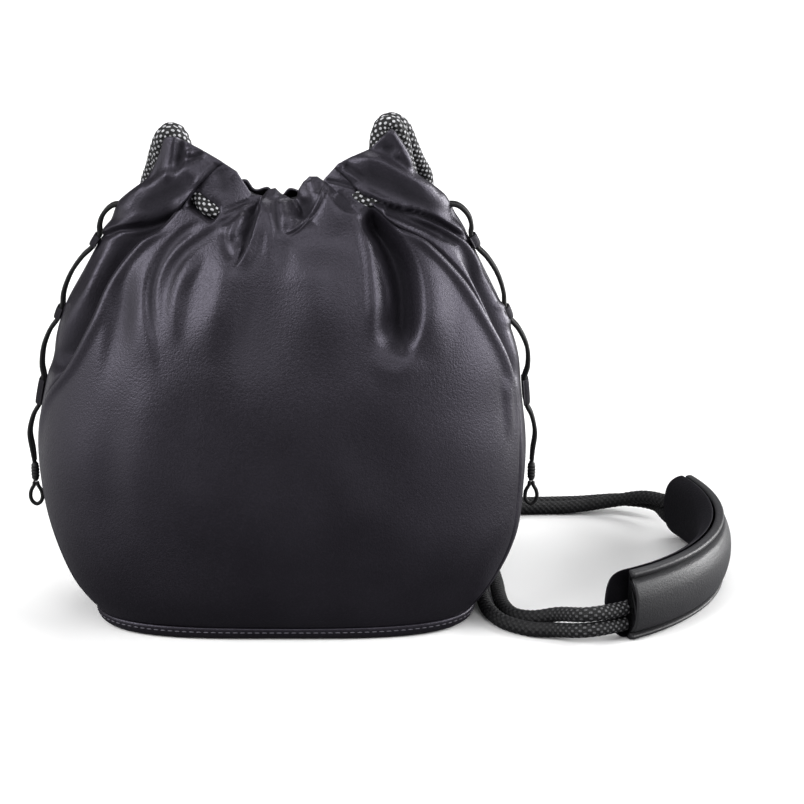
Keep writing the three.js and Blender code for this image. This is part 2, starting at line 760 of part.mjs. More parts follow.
function addKeeper(side, keeper, index) {
  const half = ELASTIC_SPACING / 2 + ELASTIC / 2 + KEEPER_PLAY;
  const base = SEAM_GAP;
  const roof = ELASTIC + 2 * SEAM_GAP + KEEPER_PLAY;
  const outline = [
    [-half - KEEPER_WALL * 2, base],
    [-half - KEEPER_WALL, base + roof * 0.7],
    [-half + KEEPER_WALL * 0.2, roof + KEEPER_WALL],
    [half - KEEPER_WALL * 0.2, roof + KEEPER_WALL],
    [half + KEEPER_WALL, base + roof * 0.7],
    [half + KEEPER_WALL * 2, base],
    [half, base],
    [half - KEEPER_WALL * 0.4, roof],
    [-half + KEEPER_WALL * 0.4, roof],
    [-half, base],
  ];
  const section = new THREE.Shape(outline.map(([x, y]) => new THREE.Vector2(x, y)));
  const geometry = new THREE.ExtrudeGeometry(section, { depth: keeper.length, bevelEnabled: false });
  geometry.translate(0, 0, -keeper.length / 2);
  const row = rowAtHeight(keeper.height);
  const normal = normalAt(side.angle, row).setY(0).normalize();
  const across = new THREE.Vector3(0, side.out, 0);
  const up = new THREE.Vector3().crossVectors(across, normal);
  const place = new THREE.Matrix4().makeBasis(across, normal, up);
  place.setPosition(onSide(side, keeper.height, 0, KEEPER_PLAY));
  geometry.applyMatrix4(place);
  addMesh(`${side.name}_keeper_${index + 1}`, geometry, MATERIALS.trim);
}

// The sleeve that crimps the two laces together, and the pull loop under it
function addStop(side) {
  const top = onSide(side, STOP_TOP, 0, STOP_RADIUS + SEAM_GAP);
  const profile = [
    [0, -STOP_LENGTH],
    [STOP_RADIUS * 0.7, -STOP_LENGTH],
    [STOP_RADIUS, -STOP_LENGTH * 0.75],
    [STOP_RADIUS, -STOP_LENGTH * 0.25],
    [STOP_RADIUS * 0.7, 0],
    [0, 0],
  ];
  const sleeve = new THREE.LatheGeometry(profile.map(([x, y]) => new THREE.Vector2(x, y)), 10);
  sleeve.rotateX(Math.PI / 2);
  sleeve.translate(top.x, 0, top.z - SEAM_GAP);
  addMesh(`${side.name}_cord_stop`, sleeve, MATERIALS.elastic);
  const head = top.z - SEAM_GAP - STOP_LENGTH - LOOP_SWING_GAP;
  const narrow = LOOP_CORD / 2 + SEAM_GAP / 2;
  const wide = LOOP_WIDTH / 2;
  const path = [
    [-narrow, 0],
    [-narrow, -0.12 * LOOP_DROP],
    [-wide * 0.85, -0.4 * LOOP_DROP],
    [-wide, -0.68 * LOOP_DROP],
    [-wide * 0.66, -0.9 * LOOP_DROP],
    [0, -LOOP_DROP],
    [wide * 0.66, -0.9 * LOOP_DROP],
    [wide, -0.68 * LOOP_DROP],
    [wide * 0.85, -0.4 * LOOP_DROP],
    [narrow, -0.12 * LOOP_DROP],
    [narrow, 0],
  ];
  const points = path.map(([x, z]) => new THREE.Vector3(top.x + x, 0, head + z));
  addMesh(`${side.name}_pull_loop`, tubeGeometry(points, LOOP_CORD, ELASTIC_SIDES, 1), MATERIALS.elastic);
}

function addLacing() {
  for (const side of SIDES) {
    const spread = ELASTIC_SPACING / 2;
    for (const [word, y] of [["front", -spread], ["back", spread]]) {
      const lace = tubeGeometry(lacePoints(side, y), ELASTIC, ELASTIC_SIDES, 1);
      addMesh(`${side.name}_elastic_${word}`, lace, MATERIALS.elastic);
    }
    KEEPERS.forEach((keeper, index) => addKeeper(side, keeper, index));
    addStop(side);
  }
}

// Shoulder pad: sections in (distance from the ropes' arc, height), carried round the arc

function onArc(degrees, offset, height) {
  const turn = THREE.MathUtils.degToRad(degrees);
  const radius = PAD_RADIUS + offset;
  const x = PAD_CENTRE_X + radius * Math.cos(turn);
  const y = PAD_CENTRE_Y + radius * Math.sin(turn);
  return new THREE.Vector3(x, y, height);
}

function arcGeometry(section, from, to, steps) {
  const count = section.length;
  const points = [];
  const faces = [];
  for (let s = 0; s <= steps; s++) {
    const degrees = from + ((to - from) * s) / steps;
    for (const [offset, height] of section) points.push(onArc(degrees, offset, height));
  }
  for (let s = 0; s < steps; s++)
    for (let i = 0; i < count; i++) {
      const j = (i + 1) % count;
      quad(faces, s * count + i, (s + 1) * count + i, (s + 1) * count + j, s * count + j);
    }
  const flat = section.map(([offset, height]) => new THREE.Vector2(offset, height));
  for (const [a, b, c] of THREE.ShapeUtils.triangulateShape(flat, [])) {
    faces.push(a, b, c);
    faces.push(steps * count + c, steps * count + b, steps * count + a);
  }
  return geometryOf(points, faces);
}

function addPad() {
  const low = PAD_FLOOR_GAP;
  const high = low + PAD_HEIGHT;
  const inner = PAD_BORE / 2;
  const outer = inner + PAD_OUTER_WALL;
  const rim = PAD_EDGE;
  const section = [
    [-inner + SEAM_GAP, low],
    [inner - rim * 0.3, low],
    [outer, low + rim],
    [outer, high - rim],
    [inner - rim * 0.3, high],
    [-inner + SEAM_GAP, high],
    [-inner + SEAM_GAP, high - PAD_OUTER_WALL],
    [inner - rim * 0.4, high - PAD_OUTER_WALL],
    [inner, high - rim - PAD_OUTER_WALL * 0.6],
    [inner, low + rim + PAD_OUTER_WALL * 0.6],
    [inner - rim * 0.4, low + PAD_OUTER_WALL],
    [-inner + SEAM_GAP, low + PAD_OUTER_WALL],
  ];
  addMesh("pad_outer", arcGeometry(section, PAD_START, PAD_END, 20), MATERIALS.shell);
  const flap = THREE.MathUtils.radToDeg(PAD_FLAP / PAD_RADIUS);
  const from = PAD_START - flap;
  const to = PAD_END + flap;
  const middle = (low + high) / 2;
  const place = (u, v, depth) => {
    const degrees = from + (to - from) * u;
    const pastEnd = Math.max(0, PAD_START - degrees, degrees - PAD_END) / flap;
    const half = (PAD_HEIGHT / 2) * Math.sqrt(Math.max(0.02, 1 - pastEnd ** 2));
    return onArc(degrees, -inner - depth, middle + half * (2 * v - 1));
  };
  addMesh("pad_lining", sheetGeometry(place, 28, 2, 0, PAD_LINING_WALL), MATERIALS.lining);
}

addShell();
addTunnels();
addBase();
addLining();
addRopes();
addLacing();
addPad();

export default group;
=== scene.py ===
"""Drawstring pouch in soft black leather, with its rope strap and shoulder pad.

Shapes are worked out in millimetres, in the part's own frame: +Z up, front towards -Y, the origin
on the floor under the middle of the bag. They are turned to metres where a mesh is made.
"""

import logging
import math
from dataclasses import dataclass, field, replace
from enum import Enum

import bpy
import numpy as np
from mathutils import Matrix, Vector


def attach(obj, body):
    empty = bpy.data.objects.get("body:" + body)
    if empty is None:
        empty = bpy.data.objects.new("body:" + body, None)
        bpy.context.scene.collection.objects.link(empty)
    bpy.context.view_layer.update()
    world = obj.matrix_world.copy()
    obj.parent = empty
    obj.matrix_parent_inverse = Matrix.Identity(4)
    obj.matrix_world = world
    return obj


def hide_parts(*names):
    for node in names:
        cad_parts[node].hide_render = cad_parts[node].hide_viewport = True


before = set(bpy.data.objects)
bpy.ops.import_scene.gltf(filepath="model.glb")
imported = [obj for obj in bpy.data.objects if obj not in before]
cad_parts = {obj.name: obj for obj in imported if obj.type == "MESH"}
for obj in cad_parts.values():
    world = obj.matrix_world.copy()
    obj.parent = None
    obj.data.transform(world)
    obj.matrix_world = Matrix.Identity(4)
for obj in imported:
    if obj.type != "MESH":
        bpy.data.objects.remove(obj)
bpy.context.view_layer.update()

logging.basicConfig(level=logging.INFO, format="%(levelname)s %(message)s")
log = logging.getLogger("pouch")

MM = 0.001
Array = np.ndarray
Pixel = tuple[float, float]
Place = tuple[float, float, float]
Tree = bpy.types.NodeTree
Socket = bpy.types.NodeSocket
Material = bpy.types.Material
Piece = bpy.types.Object


# Camera


@dataclass(frozen=True)
class PhotoCamera:
    """The viewpoint of the photograph, and where a point of the part falls in its frame."""

    target: Place = (60.0, 0.0, 107.8)
    elevation: float = 17.0
    distance: float = 1100.0
    focal_pixels: float = 2200.0
    frame_pixels: float = 804.0

    def axes(self) -> tuple[Array, Array, Array]:
        """Unit vectors to the camera's right, up and forwards."""
        tilt = math.radians(self.elevation)
        right = np.array([1.0, 0.0, 0.0])
        up = np.array([0.0, math.sin(tilt), math.cos(tilt)])
        ahead = np.array([0.0, math.cos(tilt), -math.sin(tilt)])
        return right, up, ahead

    def project(self, points: Array) -> Array:
        """Turn points into pixels of the photograph's frame.

        Args:
            points: places in mm, with x, y, z on the last axis.

        Returns:
            Pixel columns and rows on the last axis: centre plus focal length times offset over depth.
        """
        right, up, ahead = self.axes()
        place = points - np.array(self.target)
        depth = self.distance + place @ ahead
        middle = self.frame_pixels / 2
        across = middle + self.focal_pixels * (place @ right) / depth
        down = middle - self.focal_pixels * (place @ up) / depth
        return np.stack([across, down], axis=-1)

    def build(self) -> None:
        """Create the camera and make it the scene's."""
        data = bpy.data.cameras.new("photo_camera")
        data.sensor_width = 36.0
        data.lens = self.focal_pixels / self.frame_pixels * data.sensor_width
        data.clip_start = 0.05
        data.clip_end = 20.0
        camera = bpy.data.objects.new("photo_camera", data)
        bpy.context.scene.collection.objects.link(camera)
        _, _, ahead = self.axes()
        camera.location = Vector((np.array(self.target) - self.distance * ahead) * MM)
        camera.rotation_euler = (math.radians(90.0 - self.elevation), 0.0, 0.0)
        bpy.context.scene.camera = camera
        log.info("camera at %s", tuple(round(v, 3) for v in camera.location))


CAMERA = PhotoCamera()


# Numbers and meshes


def smoothstep(low: float, high: float, value: Array) -> Array:
    """Rise from 0 at low to 1 at high, level at both ends: 3s^2 - 2s^3 of the clipped share."""
    share = np.clip((value - low) / (high - low), 0.0, 1.0)
    return share * share * (3.0 - 2.0 * share)


def catmull_rom(p0: Array, p1: Array, p2: Array, p3: Array, t: Array) -> Array:
    """Cubic through p1 and p2 whose slopes follow the chords p0-p2 and p1-p3."""
    straight = 2.0 * p1 + (p2 - p0) * t
    square = (2.0 * p0 - 5.0 * p1 + 4.0 * p2 - p3) * t * t
    cube = (3.0 * p1 - p0 - 3.0 * p2 + p3) * t * t * t
    return (straight + square + cube) / 2.0


def signed_power(value: Array, power: float | Array) -> Array:
    """Raise a value's size to a power and keep its sign, as a superellipse needs."""
    return np.sign(value) * np.abs(value) ** power


def step_lengths(path: Array) -> Array:
    """Distance from each point of a path to the next."""
    return np.linalg.norm(np.diff(path, axis=0), axis=1)


def running_total(steps: Array) -> Array:
    """Add steps up one by one, from 0."""
    return np.concatenate([[0.0], np.cumsum(steps)])


def smooth_path(
    points: Array, step: float, before: Array | None = None, after: Array | None = None
) -> Array:
    """Draw a smooth curve through points and cut it into even steps.

    Args:
        points: the points it passes, one a row.
        step: length of a step, in the points' unit.
        before: the point of a neighbouring piece that leads up to the first, if there is one.
        after: the point of a neighbouring piece that follows the last, if there is one.

    Returns:
        Points on the centripetal Catmull-Rom curve, evenly spaced along it, ends included.
    """
    points = np.asarray(points, dtype=float)
    first = 2.0 * points[0] - points[1] if before is None else np.asarray(before, dtype=float)
    last = 2.0 * points[-1] - points[-2] if after is None else np.asarray(after, dtype=float)
    path = np.vstack([first, points, last])
    knots = running_total(np.sqrt(step_lengths(path)))
    fine = 24
    pieces = []
    for i in range(1, len(path) - 2):
        t = np.linspace(knots[i], knots[i + 1], fine, endpoint=False)[:, None]
        k0, k1, k2, k3 = knots[i - 1 : i + 3]
        a1 = (k1 - t) / (k1 - k0) * path[i - 1] + (t - k0) / (k1 - k0) * path[i]
        a2 = (k2 - t) / (k2 - k1) * path[i] + (t - k1) / (k2 - k1) * path[i + 1]
        a3 = (k3 - t) / (k3 - k2) * path[i + 1] + (t - k2) / (k3 - k2) * path[i + 2]
        b1 = (k2 - t) / (k2 - k0) * a1 + (t - k0) / (k2 - k0) * a2
        b2 = (k3 - t) / (k3 - k1) * a2 + (t - k1) / (k3 - k1) * a3
        pieces.append((k2 - t) / (k2 - k1) * b1 + (t - k1) / (k2 - k1) * b2)
    curve = np.vstack([*pieces, path[-2]])
    run = running_total(step_lengths(curve))
    even = np.linspace(0.0, run[-1], max(2, round(run[-1] / step) + 1))
    return np.stack([np.interp(even, run, curve[:, k]) for k in range(curve.shape[1])], axis=1)


def path_frames(path: Array, up: Place) -> tuple[Array, Array]:
    """Two unit vectors square to a path at each point, carried along it without twist.

    Args:
        path: points in order.
        up: direction that the rise starts from.

    Returns:
        The side and the rise at each point. The rise is the last one less its part along the way, and
        the side is the rise crossed with the way, so that side, rise and way are right-handed.
    """
    ahead = np.gradient(path, axis=0)
    ahead /= np.linalg.norm(ahead, axis=1, keepdims=True)
    rise = np.empty_like(ahead)
    current = np.asarray(up, dtype=float)
    for i, way in enumerate(ahead):
        current = current - way * (current @ way)
        current = current / np.linalg.norm(current)
        rise[i] = current
    return np.cross(rise, ahead), rise


def grid_faces(rows: int, columns: int, around: bool = False, over: bool = False) -> Array:
    """Quads between neighbours of a grid stored row by row.

    Args:
        rows: how many rows of points there are.
        columns: how many points a row has.
        around: close each row, from its last point to its first.
        over: close the grid from its last row to its first.

    Returns:
        Four point numbers a quad, whose normal is the way along a row crossed with the way to the next.
    """
    i = np.arange(columns if around else columns - 1)
    j = np.arange(rows if over else rows - 1)
    jj, ii = np.meshgrid(j, i, indexing="ij")
    right, up = (ii + 1) % columns, (jj + 1) % rows
    quads = [jj * columns + ii, jj * columns + right, up * columns + right, up * columns + ii]
    return np.stack(quads, axis=-1).reshape(-1, 4)


def edge_rounding(radius: float, steps: int) -> tuple[Array, Array]:
    """Quarter circle of an edge: how far each step lies from the end, and how far it is drawn in."""
    turn = np.linspace(0.0, np.pi / 2, steps)
    return radius * (1.0 - np.sin(turn)), radius * (1.0 - np.cos(turn))


def inset_outline(outline: Array, depth: float) -> Array:
    """Draw a closed, anticlockwise outline in by a depth, along the normals of its chords."""
    chord = np.roll(outline, -1, axis=0) - np.roll(outline, 1, axis=0)
    chord /= np.linalg.norm(chord, axis=1, keepdims=True)
    return outline - depth * np.stack([chord[:, 1], -chord[:, 0]], axis=1)


def sweep(path: Array, side: Array, rise: Array, sections: Array) -> tuple[Array, list]:
    """Carry a closed section along a path and cap both ends.

    Args:
        path: centre line, point by point.
        side: unit vector of the section's first measure at each point.
        rise: unit vector of its second, which the way along crosses the side to give.
        sections: outline points, anticlockwise, one outline for all or one for each point of the path.

    Returns:
        Points, and faces whose normals point out.
    """
    outline = np.broadcast_to(sections, (len(path), *sections.shape[-2:]))
    ring = path[:, None] + side[:, None] * outline[..., :1] + rise[:, None] * outline[..., 1:]
    count = outline.shape[1]
    faces = grid_faces(len(path), count, around=True).tolist()
    faces.append(list(range(count))[::-1])
    faces.append([(len(path) - 1) * count + i for i in range(count)])
    return ring.reshape(-1, 3), faces


def closed_rings(rings: Array) -> tuple[Array, list]:
    """Join rings into one skin and close its first and its last to their middles.

    Args:
        rings: points in mm, by ring and by place round it.

    Returns:
        Points, with the two middles last, and faces.
    """
    height, width = rings.shape[:2]
    middles = [rings[0].mean(axis=0), rings[-1].mean(axis=0)]
    faces = grid_faces(height, width, around=True).tolist()
    foot, last = height * width, (height - 1) * width
    for i in range(width):
        j = (i + 1) % width
        faces.append([foot, j, i])
        faces.append([foot + 1, last + i, last + j])
    return np.concatenate([rings.reshape(-1, 3), middles]), faces


def circle(radius: float, sides: int) -> Array:
    """Points of a circle, anticlockwise."""
    turn = 2.0 * np.pi * np.arange(sides) / sides
    return radius * np.stack([np.cos(turn), np.sin(turn)], axis=1)


def smooth_closed(points: list[Pixel], steps: int) -> Array:
    """Closed Catmull-Rom outline through points, with that many points to each span."""
    corners = np.array(points, dtype=float)
    t = (np.arange(steps) / steps)[None, :, None]
    at = [np.roll(corners, shift, axis=0)[:, None, :] for shift in (1, 0, -1, -2)]
    return catmull_rom(*at, t).reshape(-1, 2)


def make_piece(
    name: str,
    points: Array,
    faces: list,
    finish: Material,
    uv: Array | None = None,
    marks: dict[str, Array] | None = None,
) -> Piece:
    """Make a smooth-shaded mesh object from points in millimetres.

    Args:
        name: the piece's name.
        points: places in mm.
        faces: lists of point numbers, wound to face out.
        finish: its material.
        uv: one UV pair a point, if its material follows the surface.
        marks: named values at each point that its material reads.

    Returns:
        The object, at the origin.
    """
    mesh = bpy.data.meshes.new(name)
    mesh.from_pydata((np.asarray(points) * MM).tolist(), [], faces)
    mesh.update()
    mesh.shade_smooth()
    if uv is not None:
        layer = mesh.uv_layers.new(name="UVMap")
        corner = np.empty(len(mesh.loops), dtype=np.int32)
        mesh.loops.foreach_get("vertex_index", corner)
        layer.data.foreach_set("uv", uv[corner].astype(np.float32).ravel())
    for key, values in (marks or {}).items():
        attribute = mesh.attributes.new(key, "FLOAT", "POINT")
        attribute.data.foreach_set("value", np.asarray(values, dtype=np.float32))
    mesh.materials.append(finish)
    piece = bpy.data.objects.new(name, mesh)
    bpy.context.scene.collection.objects.link(piece)
    log.info("%s: %d faces", name, len(faces))
    return piece


def stand_for(piece: Piece, node: str) -> Piece:
    """Hide the CAD node that a piece replaces, and return the piece."""
    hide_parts(node)
    return piece


def join_meshes(parts: list[tuple[Array, list]]) -> tuple[Array, list]:
    """Put several lots of points and faces together as one.

    Args:
        parts: the points and faces of each lot.

    Returns:
        All points, and all faces with their point numbers moved on.
    """
    points, faces, start = [], [], 0
    for some, quads in parts:
        points.append(some)
        faces.extend([[start + k for k in quad] for quad in quads])
        start += len(some)
    return np.concatenate(points), faces


# Finishes


def linear(colour: str) -> tuple[float, float, float, float]:
    """Turn an sRGB hex colour into linear values: divide by 12.92 below 0.04045, else a 2.4 power."""
    parts = [int(colour[i : i + 2], 16) / 255.0 for i in (1, 3, 5)]
    rgb = [v / 12.92 if v <= 0.04045 else ((v + 0.055) / 1.055) ** 2.4 for v in parts]
    return (*rgb, 1.0)


def add_node(tree: Tree, kind: str, links: dict | None = None, **settings: object) -> bpy.types.Node:
    """Add one node with its settings and links.

    Args:
        tree: the node tree.
        kind: the node's type.
        links: input name or number to an output socket, or to a plain value.
        settings: the node's own properties.

    Returns:
        The new node.
    """
    node = tree.nodes.new(kind)
    for key, value in settings.items():
        setattr(node, key, value)
    for key, value in (links or {}).items():
        socket = node.inputs[key]
        if isinstance(value, Socket):
            tree.links.new(value, socket)
        else:
            socket.default_value = value
    return node


def new_material(name: str) -> tuple[Material, Tree]:
    """Make an empty node material and return it with its tree."""
    material = bpy.data.materials.new(name)
    material.use_nodes = True
    material.node_tree.nodes.clear()
    return material, material.node_tree


def mix_colours(
    tree: Tree, factor: Socket | float, first: Socket | tuple, second: Socket | tuple, blend: str = "MIX"
) -> Socket:
    """Blend two colours by a factor and return the colour socket."""
    values = {"Factor": factor, 6: first, 7: second}
    return add_node(tree, "ShaderNodeMix", values, data_type="RGBA", blend_type=blend).outputs[2]


def calculate(tree: Tree, operation: str, *values: Socket | float) -> Socket:
    """One step of arithmetic on sockets or numbers, returned as a socket."""
    return add_node(tree, "ShaderNodeMath", dict(enumerate(values)), operation=operation).outputs[0]


def remap(
    tree: Tree, value: Socket, low: float, high: float, out_low: float = 0.0, out_high: float = 1.0
) -> Socket:
    """Carry a value from one range to another, clipped."""
    settings = {0: value, 1: low, 2: high, 3: out_low, 4: out_high}
    return add_node(tree, "ShaderNodeMapRange", settings).outputs[0]


def random_patches(tree: Tree, place: Socket, width: float, detail: float) -> Socket:
    """Smooth noise whose patches are about that wide, in mm."""
    pattern = {"Vector": place, "Scale": 1 / (width * MM), "Detail": detail}
    return add_node(tree, "ShaderNodeTexNoise", pattern).outputs[0]


def emboss(
    tree: Tree, pattern: Socket, height: float, strength: float, under: Socket | None = None
) -> Socket:
    """Let a pattern stand out by a height in mm, over another relief if one is given."""
    values = {"Height": pattern, "Distance": height * MM, "Strength": strength}
    if under is not None:
        values["Normal"] = under
    return add_node(tree, "ShaderNodeBump", values).outputs[0]


def close_material(tree: Tree, looks: dict) -> None:
    """End a material in one principled surface with the looks that are given."""
    shader = add_node(tree, "ShaderNodeBsdfPrincipled", looks)
    add_node(tree, "ShaderNodeOutputMaterial", {"Surface": shader.outputs[0]})


@dataclass(frozen=True)
class Leather:
    """Nappa calf leather: drum dyed, with a fine closed grain under a thin satin finish.

    The finish gives broad soft highlights. The dye is a little paler on folds that stand out, where
    hands rub it. Where the leather is tucked in it is darker, which is painted shade, and duller. Widths
    of the grain's cells, of the fine creases and of the clouds of colour are in mm, and so are the heights.
    """

    name: str
    colour: str = "#18161a"
    pale: str = "#232126"
    # deep: the colour of the painted shade in tucks and hollows
    deep: str = "#0b0a0c"
    roughness: float = 0.4
    grain: float = 0.8
    grain_height: float = 0.09
    crease: float = 1.2
    crease_height: float = 0.24
    cloud: float = 40.0
    specular: float = 0.6
    glint: str = "#e2dcf2"
    sheen: float = 0.03

    def build(self) -> Material:
        """Lay the grain's cells over fine creases, and both over slow changes of colour."""
        material, tree = new_material(self.name)
        place = add_node(tree, "ShaderNodeTexCoord").outputs["Object"]
        slow = random_patches(tree, place, self.cloud, 3.0)
        fine = random_patches(tree, place, self.crease, 2.0)
        pattern = {"Vector": place, "Scale": 1 / (self.grain * MM), "Smoothness": 0.5}
        cells = add_node(tree, "ShaderNodeTexVoronoi", pattern, feature="SMOOTH_F1").outputs["Distance"]
        fold = add_node(tree, "ShaderNodeAttribute", attribute_name="fold").outputs["Fac"]
        patches = remap(tree, slow, 0.3, 0.7)
        body = mix_colours(tree, patches, linear(self.colour), linear(self.pale))
        rubbed = mix_colours(tree, remap(tree, fold, 0.0, 1.0, 0.0, 0.5), body, linear(self.pale))
        # Painted shade: where the fold mark is below 0, in tucks and hollows, the colour is drawn towards
        # the deep one
        tucked = mix_colours(tree, remap(tree, fold, -1.0, 0.0, 0.8, 0.0), rubbed, linear(self.deep))
        speck = remap(tree, cells, 0.1, 0.9, 0.7, 1.35)
        grey = add_node(tree, "ShaderNodeCombineColor", {0: speck, 1: speck, 2: speck}).outputs[0]
        creased = emboss(tree, fine, self.crease_height, 0.5)
        polish = remap(tree, fine, 0.3, 0.7, self.roughness - 0.04, self.roughness + 0.06)
        looks = {
            "Base Color": mix_colours(tree, 1.0, tucked, grey, "MULTIPLY"),
            "Roughness": calculate(tree, "ADD", polish, remap(tree, fold, -1.0, -0.2, 0.35, 0.0)),
            "Specular IOR Level": self.specular,
            "Specular Tint": linear(self.glint),
            "Sheen Weight": self.sheen,
            "Sheen Roughness": 0.5,
            "Sheen Tint": linear("#8a86a0"),
            "Normal": emboss(tree, cells, self.grain_height, 0.8, creased),
        }
        close_material(tree, looks)
        return material


@dataclass(frozen=True)
class BraidedRope:
    """Polyester rope, braided from black yarn with white yarn in every other carrier.

    The white carriers show as flecks on a diamond lattice, one to each crossing. The pitch is the
    distance between flecks along the rope and the relief that of its yarns, both in mm.
    """

    name: str
    black: str = "#0d0d0f"
    white: str = "#dcdce0"
    pitch: float = 3.3
    flecks_round: int = 7
    relief: float = 0.35

    def build(self) -> Material:
        """Flecks are where cos(2 pi u / pitch) times cos(2 pi v n) nears 1, n being the flecks round."""
        material, tree = new_material(self.name)
        uv = add_node(tree, "ShaderNodeUVMap", uv_map="UVMap").outputs[0]
        split = add_node(tree, "ShaderNodeSeparateXYZ", {0: uv})
        along = calculate(tree, "MULTIPLY", split.outputs[0], 2.0 * math.pi / self.pitch)
        around = calculate(tree, "MULTIPLY", split.outputs[1], 2.0 * math.pi * self.flecks_round)
        product = calculate(
            tree, "MULTIPLY", calculate(tree, "COSINE", along), calculate(tree, "COSINE", around)
        )
        fleck = remap(tree, product, 0.25, 0.55)
        fray = add_node(tree, "ShaderNodeTexNoise", {"Vector": uv, "Scale": 0.9, "Detail": 3.0})
        broken = calculate(tree, "MULTIPLY", fleck, remap(tree, fray.outputs[0], 0.3, 0.62, 0.45, 1.0))
        # Painted light and shade: the flecks are white where light falls on the rope and fade to black
        # where it lies in shade
        yarn_shading = add_node(tree, "ShaderNodeAttribute", attribute_name="flecks").outputs["Fac"]
        broken = calculate(tree, "MULTIPLY", broken, yarn_shading)
        colour = mix_colours(tree, broken, linear(self.black), linear(self.white))
        threads = []
        for slant in ("ADD", "SUBTRACT"):
            phase = calculate(tree, "MULTIPLY", calculate(tree, slant, along, around), 3.0)
            threads.append(calculate(tree, "SINE", phase))
        thread = calculate(tree, "MULTIPLY", calculate(tree, "MAXIMUM", *threads), 0.25)
        raised = calculate(tree, "ADD", calculate(tree, "MULTIPLY", product, 0.6), thread)
        looks = {
            "Base Color": colour,
            "Roughness": 0.62,
            "Specular IOR Level": 0.4,
            "Sheen Weight": 0.1,
            "Sheen Roughness": 0.4,
            "Sheen Tint": linear("#77767c"),
            "Normal": emboss(tree, raised, self.relief, 0.8),
        }
        close_material(tree, looks)
        return material


@dataclass(frozen=True)
class WovenCloth:
    """Woven cloth or a woven sheath in plain weave, with its thread spacing and relief in mm."""

    name: str
    colour: str
    thread: float
    roughness: float = 0.85
    relief: float = 0.12

    def build(self) -> Material:
        """Weave is the product of a sine along and a sine across, one thread spacing each."""
        material, tree = new_material(self.name)
        uv = add_node(tree, "ShaderNodeUVMap", uv_map="UVMap").outputs[0]
        split = add_node(tree, "ShaderNodeSeparateXYZ", {0: uv})
        rate = math.pi / self.thread
        warp = calculate(tree, "SINE", calculate(tree, "MULTIPLY", split.outputs[0], rate))
        weft = calculate(tree, "SINE", calculate(tree, "MULTIPLY", split.outputs[1], rate))
        weave = calculate(tree, "MULTIPLY", warp, weft)
        dark = [v * 0.55 for v in linear(self.colour)[:3]]
        colour = mix_colours(tree, remap(tree, weave, -1.0, 1.0), (*dark, 1.0), linear(self.colour))
        looks = {
            "Base Color": colour,
            "Roughness": self.roughness,
            "Specular IOR Level": 0.3,
            "Sheen Weight": 0.15,
            "Normal": emboss(tree, weave, self.relief, 0.7),
        }
        close_material(tree, looks)
        return material


@dataclass(frozen=True)
class PlainSolid:
    """Pressed board, whipping cord or sewing thread: one colour with a faint mottle, its width in mm."""

    name: str
    colour: str
    roughness: float
    mottle: float = 1.2

    def build(self) -> Material:
        """The mottle is noise of that width, up to half as light again as the colour."""
        material, tree = new_material(self.name)
        place = add_node(tree, "ShaderNodeTexCoord").outputs["Object"]
        noise = random_patches(tree, place, self.mottle, 3.0)
        pale = [v * 1.5 for v in linear(self.colour)[:3]]
        colour = mix_colours(tree, remap(tree, noise, 0.3, 0.7), linear(self.colour), (*pale, 1.0))
        bump = emboss(tree, noise, 0.05, 0.6)
        close_material(tree, {"Base Color": colour, "Roughness": self.roughness, "Normal": bump})
        return material


@dataclass
class Finishes:
    """Every finish on the object, built once."""

    shell: Material = field(default_factory=Leather("nappa_leather").build)
    trim: Material = field(
        default_factory=Leather(
            "thin_nappa_leather", colour="#0e0d0f", pale="#161517", roughness=0.6, specular=0.25
        ).build
    )
    pad: Material = field(
        default_factory=Leather(
            "pad_leather", colour="#272729", pale="#323234", deep="#0c0c0d", roughness=0.43, grain=0.7,
            specular=0.36, glint="#ffffff",
        ).build
    )
    pad_lining: Material = field(
        default_factory=Leather(
            "pad_lining_leather", colour="#0d0d0e", pale="#121213", deep="#0c0c0d", roughness=0.7,
            specular=0.3,
        ).build
    )
    rope: Material = field(default_factory=BraidedRope("braided_rope").build)
    elastic: Material = field(
        default_factory=WovenCloth("sheathed_elastic", "#0b0b0d", 0.5, roughness=0.6, relief=0.06).build
    )
    lining: Material = field(default_factory=WovenCloth("lining_cloth", "#1b1a1e", 0.8).build)
    board: Material = field(default_factory=PlainSolid("stiffening_board", "#4a4742", 0.8).build)
    stop: Material = field(default_factory=PlainSolid("whipping_cord", "#0d0d0f", 0.6, 0.6).build)
    thread: Material = field(default_factory=PlainSolid("sewing_thread", "#4a4850", 0.55, 0.4).build)


# The bag's shape


@dataclass(frozen=True)
class Section:
    """One level section of the body.

    Attributes:
        up: its height, as a share of the shoulder's.
        left: half its width to the left, as a share of the belly's.
        right: half its width to the right.
        depth: half its depth, as a share of the belly's.
        power: of its superellipse, 2 for an oval and more for a fuller one.
        seams: angles of the four seams, from +X round towards the back.
    """

    up: float
    left: float
    right: float
    depth: float
    power: float
    seams: tuple[float, float, float, float]


